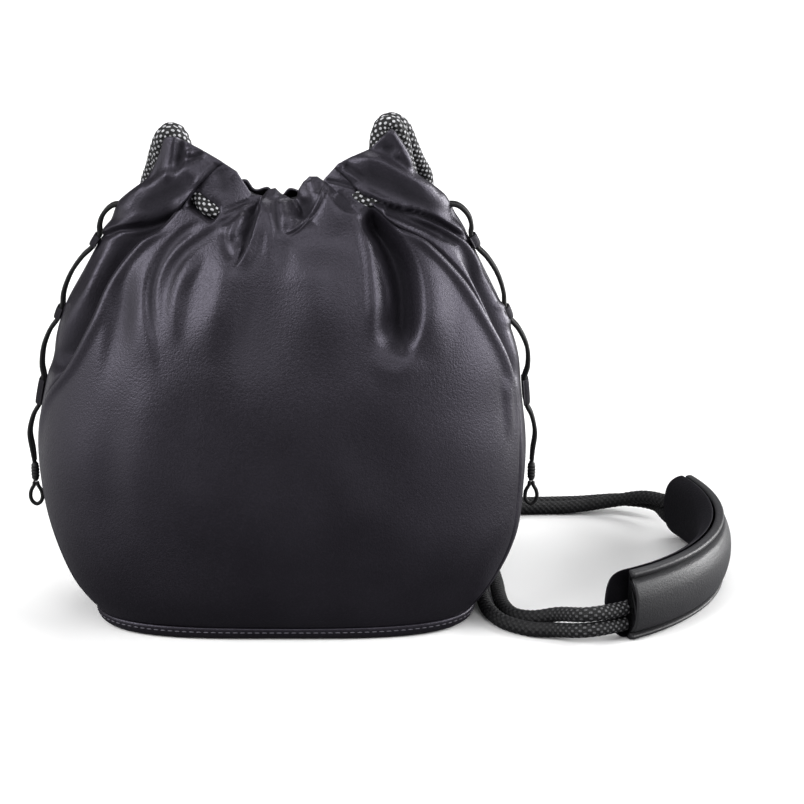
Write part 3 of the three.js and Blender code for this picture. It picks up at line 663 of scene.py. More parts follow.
SECTIONS = (
    Section(0.033, 0.78, 0.8, 0.8, 3.2, (23, 157, 203, 337)),
    Section(0.107, 0.877, 0.893, 0.89, 2.9, (20, 160, 200, 340)),
    Section(0.218, 0.947, 0.971, 0.96, 2.7, (17, 163, 196, 343)),
    Section(0.33, 0.99, 0.996, 1.0, 2.5, (15, 165, 191, 345)),
    Section(0.437, 1.0, 1.0, 0.99, 2.4, (14, 166, 189, 345)),
    Section(0.544, 0.972, 0.984, 0.945, 2.3, (14, 166, 192, 347)),
    Section(0.65, 0.93, 0.965, 0.867, 2.25, (18, 162, 206, 343)),
    Section(0.757, 0.874, 0.9, 0.75, 2.2, (24, 156, 213, 338)),
    Section(0.854, 0.788, 0.825, 0.61, 2.15, (31, 149, 213, 333)),
    Section(0.937, 0.708, 0.757, 0.47, 2.1, (39, 141, 219, 322)),
    Section(1.0, 0.635, 0.69, 0.36, 2.05, (50, 130, 230, 309)),
)
RIM_SEAMS = (63, 117, 243, 297)
RIM_ROW = len(SECTIONS)
LEFT_EAR_ANGLE = 213
RIGHT_EAR_ANGLE = 326


class Seam(Enum):
    """The four upright seams, by their place in a section's list."""

    RIGHT_BACK = 0
    LEFT_BACK = 1
    LEFT_FRONT = 2
    RIGHT_FRONT = 3


@dataclass(frozen=True)
class BagShape:
    """The outside of the bag as a function of an angle round it and a row from base to rim.

    The belly's measures are halves, the mouth's are its reach to the left, right, front and back, and
    the ears rise over the front rim. Angles are in degrees from +X round towards the back, and rows run
    from 0 at the base seam to RIM_ROW at the rim.
    """

    belly: float = 122.0
    belly_depth: float = 64.0
    shoulder: float = 206.0
    rim_front: float = 218.0
    rim_back: float = 211.0
    mouth: tuple[float, float, float, float] = (61.0, 66.0, 11.0, 15.5)
    ear_rises: tuple[float, float] = (24.0, 28.0)

    def along(self, values: list[float], row: Array) -> Array:
        """Read a list of values, one a row, at any row, by a uniform Catmull-Rom curve."""
        table = np.array([values[0], *values, values[-1]], dtype=float)
        low = np.clip(np.floor(row).astype(int), 0, len(values) - 2)
        at = [table[np.clip(low + k, 0, len(table) - 1)] for k in range(3)]
        last = table[np.clip(low + 3, 0, len(table) - 1)]
        return catmull_rom(*at, last, row - low)

    def rim_height(self, angle: Array) -> Array:
        """Height of the rim, by a Catmull-Rom curve through the listed rises over front and back.

        Args:
            angle: angles round the bag.

        Returns:
            Heights in mm.
        """
        left, right = self.ear_rises
        back = [(0, 11), (12, 7.5), (25, 5), (38, 5), (50, 8.5), (62, 9.5), (75, 5), (90, 0)]
        back += [(105, 5), (118, 9.5), (130, 8.5), (142, 5), (155, 4.5), (168, 6)]
        front = [(180, 1), (192, 6), (203, 17), (LEFT_EAR_ANGLE, left), (222, 21), (232, 15.5)]
        front += [(241, 11), (250, 4), (258, 0.5), (270, 0), (283, 3), (290, 5), (296, 11)]
        front += [(308, 17), (314, 21.5), (RIGHT_EAR_ANGLE, right), (335, 20), (344, 8), (352, 5)]
        rises = [(a, self.rim_back + r) for a, r in back] + [(a, self.rim_front + r) for a, r in front]
        angles = np.array([a for a, _ in rises] + [360.0])
        heights = np.array([h for _, h in rises])
        turn = np.mod(angle, 360.0)
        low = np.clip(np.searchsorted(angles, turn, side="right") - 1, 0, len(heights) - 1)
        share = (turn - angles[low]) / (angles[low + 1] - angles[low])
        at = [heights[(low + k) % len(heights)] for k in (-1, 0, 1, 2)]
        return catmull_rom(*at, share)

    def outside(self, angle: Array, row: Array) -> Array:
        """Places on the outside, in mm.

        Each section is a superellipse: half width times |cos| to 2/power across, half depth times
        |sin| to 2/power deep, with its own halves to the left, right, front and back.

        Args:
            angle: angles round the bag.
            row: rows of the points.

        Returns:
            Points with x, y, z on the last axis.
        """
        angle, row = np.broadcast_arrays(np.asarray(angle, float), np.asarray(row, float))
        across = np.cos(np.radians(angle))
        deep = np.sin(np.radians(angle))
        left, right, front, back = self.mouth
        power = 2.0 / self.along([s.power for s in SECTIONS] + [2.0], row)
        lefts = self.along([s.left * self.belly for s in SECTIONS] + [left], row)
        rights = self.along([s.right * self.belly for s in SECTIONS] + [right], row)
        fronts = self.along([s.depth * self.belly_depth for s in SECTIONS] + [front], row)
        backs = self.along([s.depth * self.belly_depth for s in SECTIONS] + [back], row)
        x = np.where(across < 0, lefts, rights) * signed_power(across, power)
        y = np.where(deep < 0, fronts, backs) * signed_power(deep, power)
        return np.stack([x, y, self.height(angle, row)], axis=-1)

    def height(self, angle: Array, row: Array) -> Array:
        """Heights on the surface: the sections' own, and the rim's at the last row.

        Args:
            angle: angles round the bag.
            row: rows of the points.

        Returns:
            Heights in mm, by a Catmull-Rom curve up each angle.
        """
        heights = np.array([s.up * self.shoulder for s in SECTIONS])
        rim = self.rim_height(angle)
        low = np.clip(np.floor(row).astype(int), 0, RIM_ROW - 1)
        rows = [low + k for k in (-1, 0, 1, 2)]
        at = [np.where(j >= RIM_ROW, rim, heights[np.clip(j, 0, RIM_ROW - 1)]) for j in rows]
        return catmull_rom(*at, row - low)

    def normal(self, angle: Array, row: Array) -> Array:
        """Unit vectors out of the surface: the way round crossed with the way up.

        Args:
            angle: angles round the bag.
            row: rows of the points.

        Returns:
            One vector a point, on the last axis.
        """
        low = np.clip(row - 0.05, 0.0, RIM_ROW)
        high = np.clip(row + 0.05, 0.0, RIM_ROW)
        round_way = self.outside(angle + 0.4, row) - self.outside(angle - 0.4, row)
        up_way = self.outside(angle, high) - self.outside(angle, low)
        normal = np.cross(round_way, up_way)
        return normal / np.linalg.norm(normal, axis=-1, keepdims=True)

    def under(self, angle: Array, row: Array, depth: Array | float) -> Array:
        """Places that lie depth mm under the outside, along its normals."""
        angle, row = np.broadcast_arrays(np.asarray(angle, float), np.asarray(row, float))
        depth = np.broadcast_to(np.asarray(depth, dtype=float), angle.shape)
        return self.outside(angle, row) - self.normal(angle, row) * depth[..., None]

    def seam_angle(self, seam: Seam, row: Array) -> Array:
        """Angle of a seam at a row."""
        return self.along([s.seams[seam.value] for s in SECTIONS] + [RIM_SEAMS[seam.value]], row)

    def mm_per_degree(self, angle: Array, row: Array) -> Array:
        """How far a degree round the bag reaches along its surface."""
        return np.linalg.norm(self.outside(angle + 0.5, row) - self.outside(angle - 0.5, row), axis=-1)


SHAPE = BagShape()


# Folds in the leather


class FoldKind(Enum):
    """How a fold's section runs across its path."""

    SOFT = "soft"
    TUCK = "tuck"


@dataclass(frozen=True)
class Fold:
    """One fold of the leather, along a path drawn in the photograph's frame.

    A soft fold is a rounded ridge, or a valley where its height is below 0. A tuck is a layer that
    laps over the next: it stands at its height on the left of its path and drops off at the right,
    as one walks along it.

    Attributes:
        path: pixels that it runs through, in order.
        height: how far it stands out, in mm, or below 0 how deep it lies.
        left: how wide it is to the left of its path, in pixels.
        right: how wide it is to the right.
        fade: the shares of its path over which it rises from each end.
        kind: the form of its section.
        drop: depth of a tuck's right side under the leather around, in mm.
        narrow: width at the path's start as a share of its width from half way on.
        shade: how much painted shade darkens and dulls the leather along it, from 0 to 1.
    """

    name: str
    path: tuple[Pixel, ...]
    height: float
    left: float
    right: float
    fade: tuple[float, float] = (0.3, 0.3)
    kind: FoldKind = FoldKind.SOFT
    drop: float = 0.0
    narrow: float = 1.0
    shade: float = 0.0

    def shadow(self, pixels: Array) -> Array:
        """Painted shade: how much darker the leather is made, as a soft ridge of the fold's width."""
        if self.shade == 0.0:
            return np.zeros(pixels.shape[:-1])
        return replace(self, height=self.shade, kind=FoldKind.SOFT).offset(pixels)

    def offset(self, pixels: Array) -> Array:
        """How far this fold moves each point out of the surface, in mm.

        The section is (1 - (s/1.2w)^2)^3 for a distance s and width w, and a tuck's right side falls
        from height to -drop within two pixels of its path.

        Args:
            pixels: the points' places in the photograph's frame.

        Returns:
            One distance a point.
        """
        route = smooth_path(np.array(self.path, float), 2.5)
        flat = pixels.reshape(-1, 2)
        margin = 1.2 * max(self.left, self.right)
        low, high = route.min(axis=0) - margin, route.max(axis=0) + margin
        near = np.all((flat > low) & (flat < high), axis=1)
        value = np.zeros(len(flat))
        if near.any():
            value[near] = self.section(*self.distance(flat[near], route))
        return value.reshape(pixels.shape[:-1])

    def section(self, away: Array, share: Array) -> Array:
        """The fold's section, fading towards both ends.

        Args:
            away: distance from its path in pixels, above 0 on its right.
            share: share of the way along it.

        Returns:
            Its height at each point, in mm.
        """
        width = np.where(away < 0, self.left, self.right)
        width = width * (self.narrow + (1.0 - self.narrow) * smoothstep(0.0, 0.5, share))
        bump = (1.0 - np.clip(np.abs(away) / (1.2 * width), 0.0, 1.0) ** 2) ** 3
        if self.kind is FoldKind.SOFT:
            value = self.height * bump
        else:
            edge = smoothstep(-0.8, 1.2, away)
            value = self.height * bump * (1.0 - edge) - self.drop * bump * edge
        for fade, place in zip(self.fade, (share, 1.0 - share)):
            if fade > 0:
                value = value * smoothstep(0.0, fade, place)
        return value

    @staticmethod
    def distance(pixels: Array, route: Array) -> tuple[Array, Array]:
        """Find the nearest place of a route for each point.

        Args:
            pixels: the points.
            route: the route's corners, in order.

        Returns:
            The distance to it, above 0 on its right, and the share of the way along it.
        """
        start, step = route[:-1], np.diff(route, axis=0)
        square = (step**2).sum(axis=1)
        run = running_total(np.sqrt(square))
        best = np.full(len(pixels), np.inf)
        signed = np.zeros(len(pixels))
        share = np.zeros(len(pixels))
        for k in range(len(start)):
            offset = pixels - start[k]
            t = np.clip(offset @ step[k] / square[k], 0.0, 1.0)
            gap = offset - t[:, None] * step[k]
            length = np.hypot(gap[:, 0], gap[:, 1])
            nearer = length < best
            side = np.sign(step[k, 0] * offset[:, 1] - step[k, 1] * offset[:, 0])
            best = np.where(nearer, length, best)
            signed = np.where(nearer, side * length, signed)
            share = np.where(nearer, (run[k] + t * (run[k + 1] - run[k])) / run[-1], share)
        return signed, share


TUCK = FoldKind.TUCK

FRONT_FOLDS = (
    Fold(
        "deep_pleat", ((365, 206), (377, 222), (391, 240), (402, 264), (407, 290), (407, 320), (399, 362)),
        -12.5, 15, 32, (0.14, 0.26), narrow=0.5,
    ),
    Fold("pleat_wrinkle", ((377, 243), (386, 267), (393, 287), (397, 322)), 1.3, 8, 8, (0.3, 0.4)),
    Fold(
        "roll_left_of_pleat", ((352, 204), (360, 220), (367, 240), (371, 262), (373, 300), (374, 345)),
        2.0, 32, 12,
    ),
    Fold(
        "roll_right_of_pleat", ((388, 213), (408, 234), (423, 262), (430, 292), (429, 330), (420, 362)),
        2.4, 28, 14,
    ),
    Fold(
        "rim_under_pleat", ((368, 350), (380, 366), (397, 373), (414, 365), (423, 348)),
        0.6, 13, 14, (0.4, 0.4),
    ),
    Fold(
        "pocket_lip", ((284, 235), (294, 231), (305, 222), (315, 211), (322, 198), (325, 185)),
        1.4, 5, 5, (0.2, 0.1), TUCK, 1.0,
    ),
    Fold("pocket_hollow", ((303, 196), (305, 208), (299, 221)), -2.8, 9, 8, (0.3, 0.3), shade=1.6),
    Fold("lobe_ridge", ((309, 180), (313, 191), (316, 202)), 0.8, 7, 7, (0.1, 0.4)),
    Fold("lobe_valley", ((319, 181), (321, 194)), -0.5, 5, 5, (0.1, 0.4), shade=0.5),
    Fold("bulge", ((284, 198), (286, 212), (287, 232)), 2.0, 10, 10, (0.2, 0.5)),
    Fold(
        "crease_round_bulge", ((275, 195), (276, 210), (278, 225), (283, 237)),
        -0.8, 5, 6, (0.1, 0.3), shade=0.7,
    ),
    Fold("valley_under_bulge", ((284, 236), (285, 255), (283, 290)), -0.6, 14, 14, (0.3, 0.7), shade=0.3),
    Fold("ridge_left_of_bulge", ((267, 200), (268, 215), (269, 240), (268, 272)), 1.3, 9, 9, (0.2, 0.6)),
    Fold("bowl", ((336, 193), (344, 202), (352, 211)), -0.9, 8, 8, (0.2, 0.3), shade=1.6),
    Fold("bowl_rim", ((325, 186), (329, 198), (336, 208), (346, 214), (360, 217)), 1.5, 7, 30, (0.2, 0.4)),
    Fold("line_under_rim", ((326, 180), (344, 184), (362, 190)), -0.9, 3, 3, (0.1, 0.2), shade=0.7),
    Fold(
        "v_lip", ((262, 196), (258, 213), (252, 236), (243, 257), (234, 272)),
        2.0, 13, 8, (0.1, 0.3), TUCK, 2.4,
    ),
    Fold("v_hollow", ((257, 203), (252, 217), (246, 234), (239, 252)), -3.2, 7, 10, (0.15, 0.4), shade=0.7),
    Fold("v_left_ridge", ((250, 204), (241, 215), (233, 229), (228, 246)), 1.3, 8, 7),
    Fold("v_left_crease", ((222, 230), (226, 247), (233, 262)), -1.0, 6, 6, shade=0.3),
    Fold("fan_crease_1", ((259, 199), (240, 204), (221, 213)), -1.1, 4, 4, shade=0.4),
    Fold("fan_crease_2", ((256, 205), (236, 216), (214, 227)), -0.9, 5, 5, shade=0.3),
    Fold("shadow_at_left_slit", ((219, 168), (224, 182), (219, 197)), -0.6, 12, 10, (0.2, 0.3), shade=0.8),
    Fold(
        "broad_ridge", ((234, 236), (229, 262), (224, 295), (215, 326), (204, 368)),
        3.2, 30, 30, (0.35, 0.5),
    ),
    Fold(
        "narrow_ridge", ((204, 250), (189, 270), (179, 291), (175, 315), (174, 352)),
        1.9, 10, 13, (0.3, 0.45),
    ),
    Fold(
        "first_dark_line", ((232, 220), (206, 237), (186, 252), (172, 269), (165, 287), (162, 308)),
        -1.1, 9, 8, (0.25, 0.45), shade=0.35,
    ),
    Fold(
        "second_dark_line",
        ((206, 219), (184, 233), (165, 252), (154, 274), (150, 298), (153, 322), (162, 348)),
        -1.2, 7, 7, (0.2, 0.35), shade=0.5,
    ),
    Fold(
        "left_ridge", ((170, 236), (156, 256), (146, 280), (143, 308), (148, 342), (158, 400)),
        2.0, 8, 24, (0.3, 0.6),
    ),
    Fold(
        "left_valley", ((136, 264), (121, 306), (111, 352), (102, 405)),
        -2.4, 24, 13, (0.35, 0.6), shade=0.25,
    ),
    Fold(
        "dark_side_of_broad_ridge", ((262, 240), (253, 290), (246, 350), (240, 440)),
        -2.0, 90, 34, (0.5, 0.5), shade=0.35,
    ),
    Fold("middle_swell", ((318, 236), (322, 300), (318, 390)), 3.0, 46, 50, (0.3, 0.6)),
    Fold("low_left_swell", ((150, 360), (146, 430), (152, 510)), 1.8, 40, 34, (0.4, 0.5)),
    Fold("low_left_dip", ((100, 420), (112, 500), (130, 560)), -1.4, 26, 26, (0.4, 0.5)),
    Fold("low_right_dip", ((330, 400), (380, 470), (400, 540)), -1.6, 44, 44, (0.4, 0.5)),
    Fold("right_edge_highlight", ((506, 372), (509, 400), (511, 445)), 1.6, 5, 7, (0.3, 0.5)),
    Fold("left_slit", ((189, 196), (204, 207), (219, 217)), -7.0, 11, 11, (0.15, 0.25)),
    Fold("right_slit", ((358, 191), (369, 197), (381, 202)), -6.0, 8, 8, (0.15, 0.2)),
)

LEFT_FOLDS = (
    Fold("lit_face_of_ear", ((174, 139), (171, 160), (163, 186)), 2.4, 8, 14, (0.0, 0.3)),
    Fold("crease_beside_face", ((181, 141), (180, 158), (174, 182)), -1.6, 6, 6, (0.0, 0.5), shade=0.7),
    Fold("ear_bulge", ((187, 149), (191, 157)), 1.8, 6, 6, (0.3, 0.3)),
    Fold("ear_crease", ((188, 161), (196, 157), (206, 153)), -1.4, 4, 4, shade=0.6),
    Fold("gather_1", ((219, 163), (208, 176), (199, 192)), -1.4, 4, 4, (0.1, 0.3), shade=0.4),
    Fold("gather_2", ((211, 161), (203, 175), (196, 190)), 1.0, 4, 4, (0.2, 0.3)),
    Fold("gather_3", ((225, 168), (216, 180), (207, 191)), 1.4, 4, 4, (0.2, 0.2)),
    Fold("flap_swell", ((112, 222), (136, 198), (168, 180), (206, 160)), 3.6, 12, 26, (0.2, 0.2)),
    Fold("flap_shadow", ((132, 216), (164, 197), (198, 183)), -0.8, 15, 15, (0.3, 0.3), shade=1.4),
    Fold(
        "hem_edge", ((98, 237), (113, 229), (130, 225), (154, 219), (179, 209), (190, 203), (206, 192)),
        1.4, 10, 8, (0.1, 0.0), TUCK, 2.4,
    ),
    Fold("line_under_hem", ((112, 233), (130, 230), (155, 222), (180, 213)), 1.0, 3, 3),
    Fold(
        "dark_fold_beside_seam",
        ((190, 211), (165, 224), (140, 236), (120, 255), (108, 282), (97, 306), (84, 328), (68, 354),
         (56, 376)), -8.5, 9, 18, (0.1, 0.12), shade=1.6,
    ),
    Fold("ridge_at_side", ((118, 236), (103, 262), (90, 290), (78, 314)), 2.0, 8, 8, (0.3, 0.4)),
)

RIGHT_FOLDS = (
    Fold("lit_edge_of_ear", ((391, 133), (398, 145), (405, 158), (411, 176)), 2.6, 5, 8, (0.0, 0.3)),
    Fold("crease_under_tip", ((380, 147), (388, 150), (395, 154)), -1.2, 5, 4, shade=0.5),
    Fold("fold_under_tip", ((390, 152), (398, 155), (404, 158)), 1.2, 4, 4),
    Fold("long_crease", ((343, 164), (354, 171), (366, 182)), -1.8, 5, 5, (0.1, 0.3), shade=0.8),
    Fold("second_crease", ((338, 172), (350, 180), (362, 186)), -1.2, 4, 4, (0.2, 0.3), shade=0.6),
    Fold(
        "flap_swell", ((346, 166), (372, 160), (402, 176), (432, 196), (456, 216)), 4.0, 10, 28, (0.2, 0.2),
    ),
    Fold(
        "flap_shadow", ((352, 172), (386, 183), (424, 204), (448, 222)),
        -1.0, 17, 16, (0.2, 0.25), shade=1.1,
    ),
    Fold("dark_spot", ((364, 148), (372, 144)), -1.2, 5, 5, shade=0.4),
    Fold(
        "hem_edge", ((362, 192), (380, 201), (399, 207), (425, 214), (451, 226), (466, 237)),
        1.2, 10, 7, (0.1, 0.1), TUCK, 3.0,
    ),
    Fold(
        "fold_under_hem", ((382, 208), (404, 216), (430, 227), (452, 242)),
        -3.2, 7, 7, (0.1, 0.4), shade=0.5,
    ),
    Fold(
        "second_ridge",
        ((398, 212), (425, 221), (445, 231), (462, 242), (474, 258), (483, 280), (491, 300)), 1.6, 4, 4,
    ),
    Fold("dark_pocket", ((440, 235), (450, 239), (460, 245)), -1.0, 5, 5, shade=0.8),
    Fold(
        "dark_fold_beside_seam", ((450, 239), (466, 256), (480, 281), (495, 315), (508, 350), (519, 388)),
        -4.6, 7, 8, (0.35, 0.15), shade=1.0,
    ),
    Fold("small_bulge", ((496, 300), (504, 310), (510, 330)), 1.6, 5, 5),
)

# The rim's line from the left ear's tip to the right ear's, in the photograph's frame
RIM_LINE = (
    (175, 138), (192, 146), (203, 152), (219, 161), (236, 172), (243, 183), (251, 195), (262, 196.5),
    (268, 190), (275, 188.5), (281, 194), (293, 200), (297, 199), (299, 190), (304, 182), (310, 177),
    (318, 177), (324, 181), (326.5, 178), (332, 172), (339, 164.5), (352, 157.5), (362, 153),
    (372, 149), (391, 131),
)


MOST_LIFT = 9.0


def lift_rim(grid: Array, angle: Array, row: Array) -> Array:
    """Raise or lower each column of a grid until its rim lies on the rim's line.

    The height that it lacks in the picture, times the depth over the focal length, is what the rim
    goes up by, and rows below it take a share that falls off to nothing a row and a half down.

    Args:
        grid: places in mm, by row and column.
        angle: their angles, in degrees from +X.
        row: their rows.

    Returns:
        The moved places.
    """
    line = np.array(RIM_LINE, float)
    seen = CAMERA.project(grid[-1])
    _, up, ahead = CAMERA.axes()
    depth = CAMERA.distance + (grid[-1] - np.array(CAMERA.target)) @ ahead
    lacking = seen[:, 1] - np.interp(seen[:, 0], line[:, 0], line[:, 1])
    front = smoothstep(206.0, 216.0, angle[-1]) * (1.0 - smoothstep(322.0, 330.0, angle[-1]))
    lift = np.clip(lacking * depth / CAMERA.focal_pixels / up[2], -MOST_LIFT, MOST_LIFT) * front
    share = smoothstep(RIM_ROW - 1.5, RIM_ROW, row)
    moved = grid.copy()
    moved[..., 2] += share * lift
    return moved


def fold_offset(points: Array, normals: Array, folds: tuple[Fold, ...]) -> tuple[Array, Array]:
    """Add up what the folds do at each point, fading where the surface turns from the photograph.

    Args:
        points: places on the plain surface, in mm.
        normals: unit vectors out of it.
        folds: the folds.

    Returns:
        How far each point moves out, in mm, and how much painted shade darkens the leather there.
    """
    pixels = CAMERA.project(points)
    total = sum(fold.offset(pixels) for fold in folds)
    shadow = sum(fold.shadow(pixels) for fold in folds)
    _, _, ahead = CAMERA.axes()
    facing = smoothstep(-0.05, 0.2, -(normals @ ahead))
    return total * facing, shadow * facing


def gathers(angle: Array, row: Array, count: int, height: float, reach: float) -> Array:
    """Ripples that run down from the rim: a cosine round the mouth that wanders and dies away.

    Args:
        angle: degrees from +X.
        row: rows of the points.
        count: how many ripples there are to a full turn.
        height: how far they stand out at the rim, in mm.
        reach: over how many rows they die away.

    Returns:
        Offsets in mm.
    """
    share = np.clip(1.0 - (RIM_ROW - row) / reach, 0.0, 1.0)
    wander = 3.0 * np.sin(np.radians(angle) * 3.0) + 6.0 * (RIM_ROW - row)
    wave = np.cos(np.radians(angle * count + wander * 9.0))
    return height * wave * share**1.5


def fold_mark(offset: Array, reach: int = 9, full: float = 3.6) -> Array:
    """How much each point stands out of its surroundings, from -1 in a tuck to 1 on a ridge.

    Args:
        offset: how far each point of a grid stands out, in mm.
        reach: half the side of the square round it whose mean counts as its surroundings, in points.
        full: the difference in mm that counts as 1.

    Returns:
        One mark a point.
    """
    padded = np.pad(offset, reach, mode="edge")
    total = np.cumsum(np.cumsum(np.pad(padded, ((1, 0), (1, 0))), axis=0), axis=1)
    side = 2 * reach + 1
    box = total[side:, side:] - total[:-side, side:] - total[side:, :-side] + total[:-side, :-side]
    return np.clip((offset - box / side**2) / full, -1.0, 1.0)


# Pieces of the bag

# Rows over which a lap grows to its full width, and the row from which a panel's grid is fine
LAP_ROWS = (9.3, 9.9)
FINE_FROM = 6.2


@dataclass(frozen=True)
class Panel:
    """One piece of the shell, from one seam round to another and from the base to the rim.

    Attributes:
        node: the CAD node that it stands for.
        start: the seam where it begins.
        end: the seam where it ends.
        columns: points across.
        leather: thickness of the leather, in mm.
        start_lap: how far its upper part laps over the piece before it, in mm.
        end_lap: how far its upper part laps over the piece after it.
        edge_roll: how far its edges stand up beside the seam, in mm.
        seam_tuck: how deep they dip at the seam.
        lap_rise: how far a lap stands proud.
        pleats: how many gathers run round a full turn at its rim.
        pleat_height: how high they stand there.
        pleat_reach: how many rows they run down.
        unevenness: how far the leather wavers from a plain form, in mm.
        foot_tuck: how far it draws in at its foot, in mm.
    """

    name: str
    node: str
    start: Seam
    end: Seam
    folds: tuple[Fold, ...] = ()
    columns: int = 200
    leather: float = 1.7
    start_lap: float = 0.0
    end_lap: float = 0.0
    edge_roll: float = 0.0
    seam_tuck: float = 1.3
    lap_rise: float = 2.1
    pleats: int = 30
    pleat_height: float = 0.0
    pleat_reach: float = 3.2
    unevenness: float = 0.22
    foot_tuck: float = 0.5

    def rows(self) -> Array:
        """Rows of its grid: coarse low down, and three times as fine where the folds are."""
        return np.concatenate([np.arange(0.0, FINE_FROM, 0.12), np.linspace(FINE_FROM, RIM_ROW, 130)])

    def angles(self, rows: Array) -> tuple[Array, Array]:
        """Angles of its two edges, moved out by the laps.

        Args:
            rows: rows of its grid.

        Returns:
            The angle of its start and of its end at each row, in degrees.
        """
        start = SHAPE.seam_angle(self.start, rows)
        end = SHAPE.seam_angle(self.end, rows)
        if self.end.value < self.start.value:
            end = end + 360.0
        lapped = smoothstep(*LAP_ROWS, rows)
        start = start - lapped * self.start_lap / SHAPE.mm_per_degree(start, rows)
        end = end + lapped * self.end_lap / SHAPE.mm_per_degree(end, rows)
        return start, end

    def seam_relief(self, away: Array, lap: float, row: Array) -> Array:
        """Offset beside a seam: a tuck at the seam, then a roll that dies away 14 mm in.

        Args:
            away: distance from the seam, in mm.
            lap: how far this edge laps over its neighbour.
            row: rows of the points.

        Returns:
            Offsets in mm. A lapping edge stands proud of its neighbour instead of tucking in.
        """
        near = np.exp(-((away / 1.5) ** 2))
        roll = np.exp(-(((away - 4.0) / 3.6) ** 2))
        middle = smoothstep(3.5, 5.5, row) * (1.0 - smoothstep(9.0, 9.8, row))
        tucked = -self.seam_tuck * near + self.edge_roll * roll * middle
        if lap <= 0.0:
            return tucked
        over = smoothstep(*LAP_ROWS, row)
        return tucked * (1.0 - over) + over * self.lap_rise * np.exp(-((away / 7.0) ** 2))

    @staticmethod
    def sewn(away: Array, lap: float, row: Array) -> Array:
        """Share of the folds that a seam leaves: none at the stitches of an edge, all of it 3 mm in.

        An edge that laps over its neighbour is sewn to it only below its lap.
        """
        if lap <= 0.0:
            return np.ones(away.shape)
        below = 1.0 - smoothstep(*LAP_ROWS, row)
        return 1.0 - below * (1.0 - smoothstep(0.0, 3.0, away))

    def relief(
        self, base: Array, normal: Array, angle: Array, row: Array, edges: tuple[Array, Array]
    ) -> tuple[Array, Array]:
        """Add up the offsets of the leather from the plain form.

        They are its folds, the tucks and rolls beside its seams, its gathers, a slow unevenness of
        sines along x and z, and the tuck at its foot.

        Args:
            base: places on the plain form, in mm.
            normal: unit vectors out of it.
            angle: their angles, in degrees.
            row: their rows.
            edges: angles of the start and the end at each row.

        Returns:
            Offsets in mm, and how much painted shade the folds put on the leather.
        """
        scale = SHAPE.mm_per_degree(angle, row)
        sides = (((angle - edges[0]) * scale, self.start_lap), ((edges[1] - angle) * scale, self.end_lap))
        offset, shadow = np.zeros(row.shape), np.zeros(row.shape)
        if self.folds:
            offset, shadow = fold_offset(base, normal, self.folds)
        for away, lap in sides:
            offset = offset * self.sewn(away, lap, row)
        for away, lap in sides:
            offset = offset + self.seam_relief(away, lap, row)
        if self.pleat_height > 0.0:
            offset = offset + gathers(angle, row, self.pleats, self.pleat_height, self.pleat_reach)
        x, z = base[..., 0], base[..., 2]
        slow = np.sin(x / 17.0 + 1.3) * np.sin(z / 23.0) + np.sin(z / 9.0 + x / 31.0)
        foot = -self.foot_tuck * (1.0 - smoothstep(0.0, 0.35, row))
        return offset + self.unevenness * slow + foot, shadow

    def build(self, finish: Material) -> Piece:
        """Make the piece: its outside, a rounded rim and its inside as one closed skin.

        Args:
            finish: its leather.

        Returns:
            The piece.
        """
        rows = self.rows()
        start, end = self.angles(rows)
        share = np.linspace(0.0, 1.0, self.columns)
        angle = start[:, None] + (end - start)[:, None] * share
        row = np.broadcast_to(rows[:, None], angle.shape)
        base = SHAPE.outside(angle, row)
        if self.folds:
            base = lift_rim(base, angle, row)
        normal = SHAPE.normal(angle, row)
        relief, shadow = self.relief(base, normal, angle, row, (start[:, None], end[:, None]))
        outer = base + normal * relief[..., None]
        if self.folds:
            outer = lift_rim(outer, angle, row)
        # The folds' painted shade is taken off the mark
        mark = fold_mark(relief) - shadow
        way = outer[-1] - outer[-4]
        way /= np.linalg.norm(way, axis=-1, keepdims=True)
        turn = np.linspace(0.0, np.pi, 7)[1:-1, None, None]
        half = self.leather / 2
        rim = outer[-1] - normal[-1] * half * (1 - np.cos(turn)) + way * half * np.sin(turn)
        inner = outer - normal * self.leather
        skin = np.concatenate([outer, rim, inner[::-1]])
        # The turned rim is marked to come out paler; the inside is marked darker and duller, which is
        # painted shade inside the bag
        marks = np.concatenate([mark, np.repeat(mark[-1:], len(rim), axis=0) + 0.4, mark[::-1] - 0.5])
        height, width = skin.shape[:2]
        faces = grid_faces(height, width, over=True).tolist()
        index = np.arange(height * width).reshape(height, width)
        count = len(rows)
        for j in range(count - 1):
            twin = height - 1 - j
            faces.append([index[j, 0], index[j + 1, 0], index[twin - 1, 0], index[twin, 0]])
            faces.append([index[twin, -1], index[twin - 1, -1], index[j + 1, -1], index[j, -1]])
        top = list(range(count - 1, height - count + 1))
        faces.append([index[j, 0] for j in top])
        faces.append([index[j, -1] for j in reversed(top)])
        return make_piece(self.name, skin.reshape(-1, 3), faces, finish, marks={"fold": marks.ravel()})


@dataclass
class Shell:
    """The four pieces of leather that make the bag's outside."""

    finishes: Finishes
    panels: tuple[Panel, ...] = (
        Panel(
            "front_panel_leather", "front_panel", Seam.LEFT_FRONT, Seam.RIGHT_FRONT, FRONT_FOLDS, 240,
            edge_roll=2.0,
        ),
        Panel(
            "back_panel_leather", "back_panel", Seam.RIGHT_BACK, Seam.LEFT_BACK, (), 180,
            edge_roll=1.0, pleats=34, pleat_height=1.9,
        ),
        Panel(
            "left_gusset_leather", "left_gusset", Seam.LEFT_BACK, Seam.LEFT_FRONT, LEFT_FOLDS, 130,
            end_lap=1.6,
        ),
        Panel(
            "right_gusset_leather", "right_gusset", Seam.RIGHT_FRONT, Seam.RIGHT_BACK, RIGHT_FOLDS, 130,
            start_lap=1.6,
        ),
    )

    def build(self) -> list[Piece]:
        """Make the panels and hide the CAD parts that they stand for."""
        shell = self.finishes.shell
        return [stand_for(panel.build(shell), panel.node) for panel in self.panels]


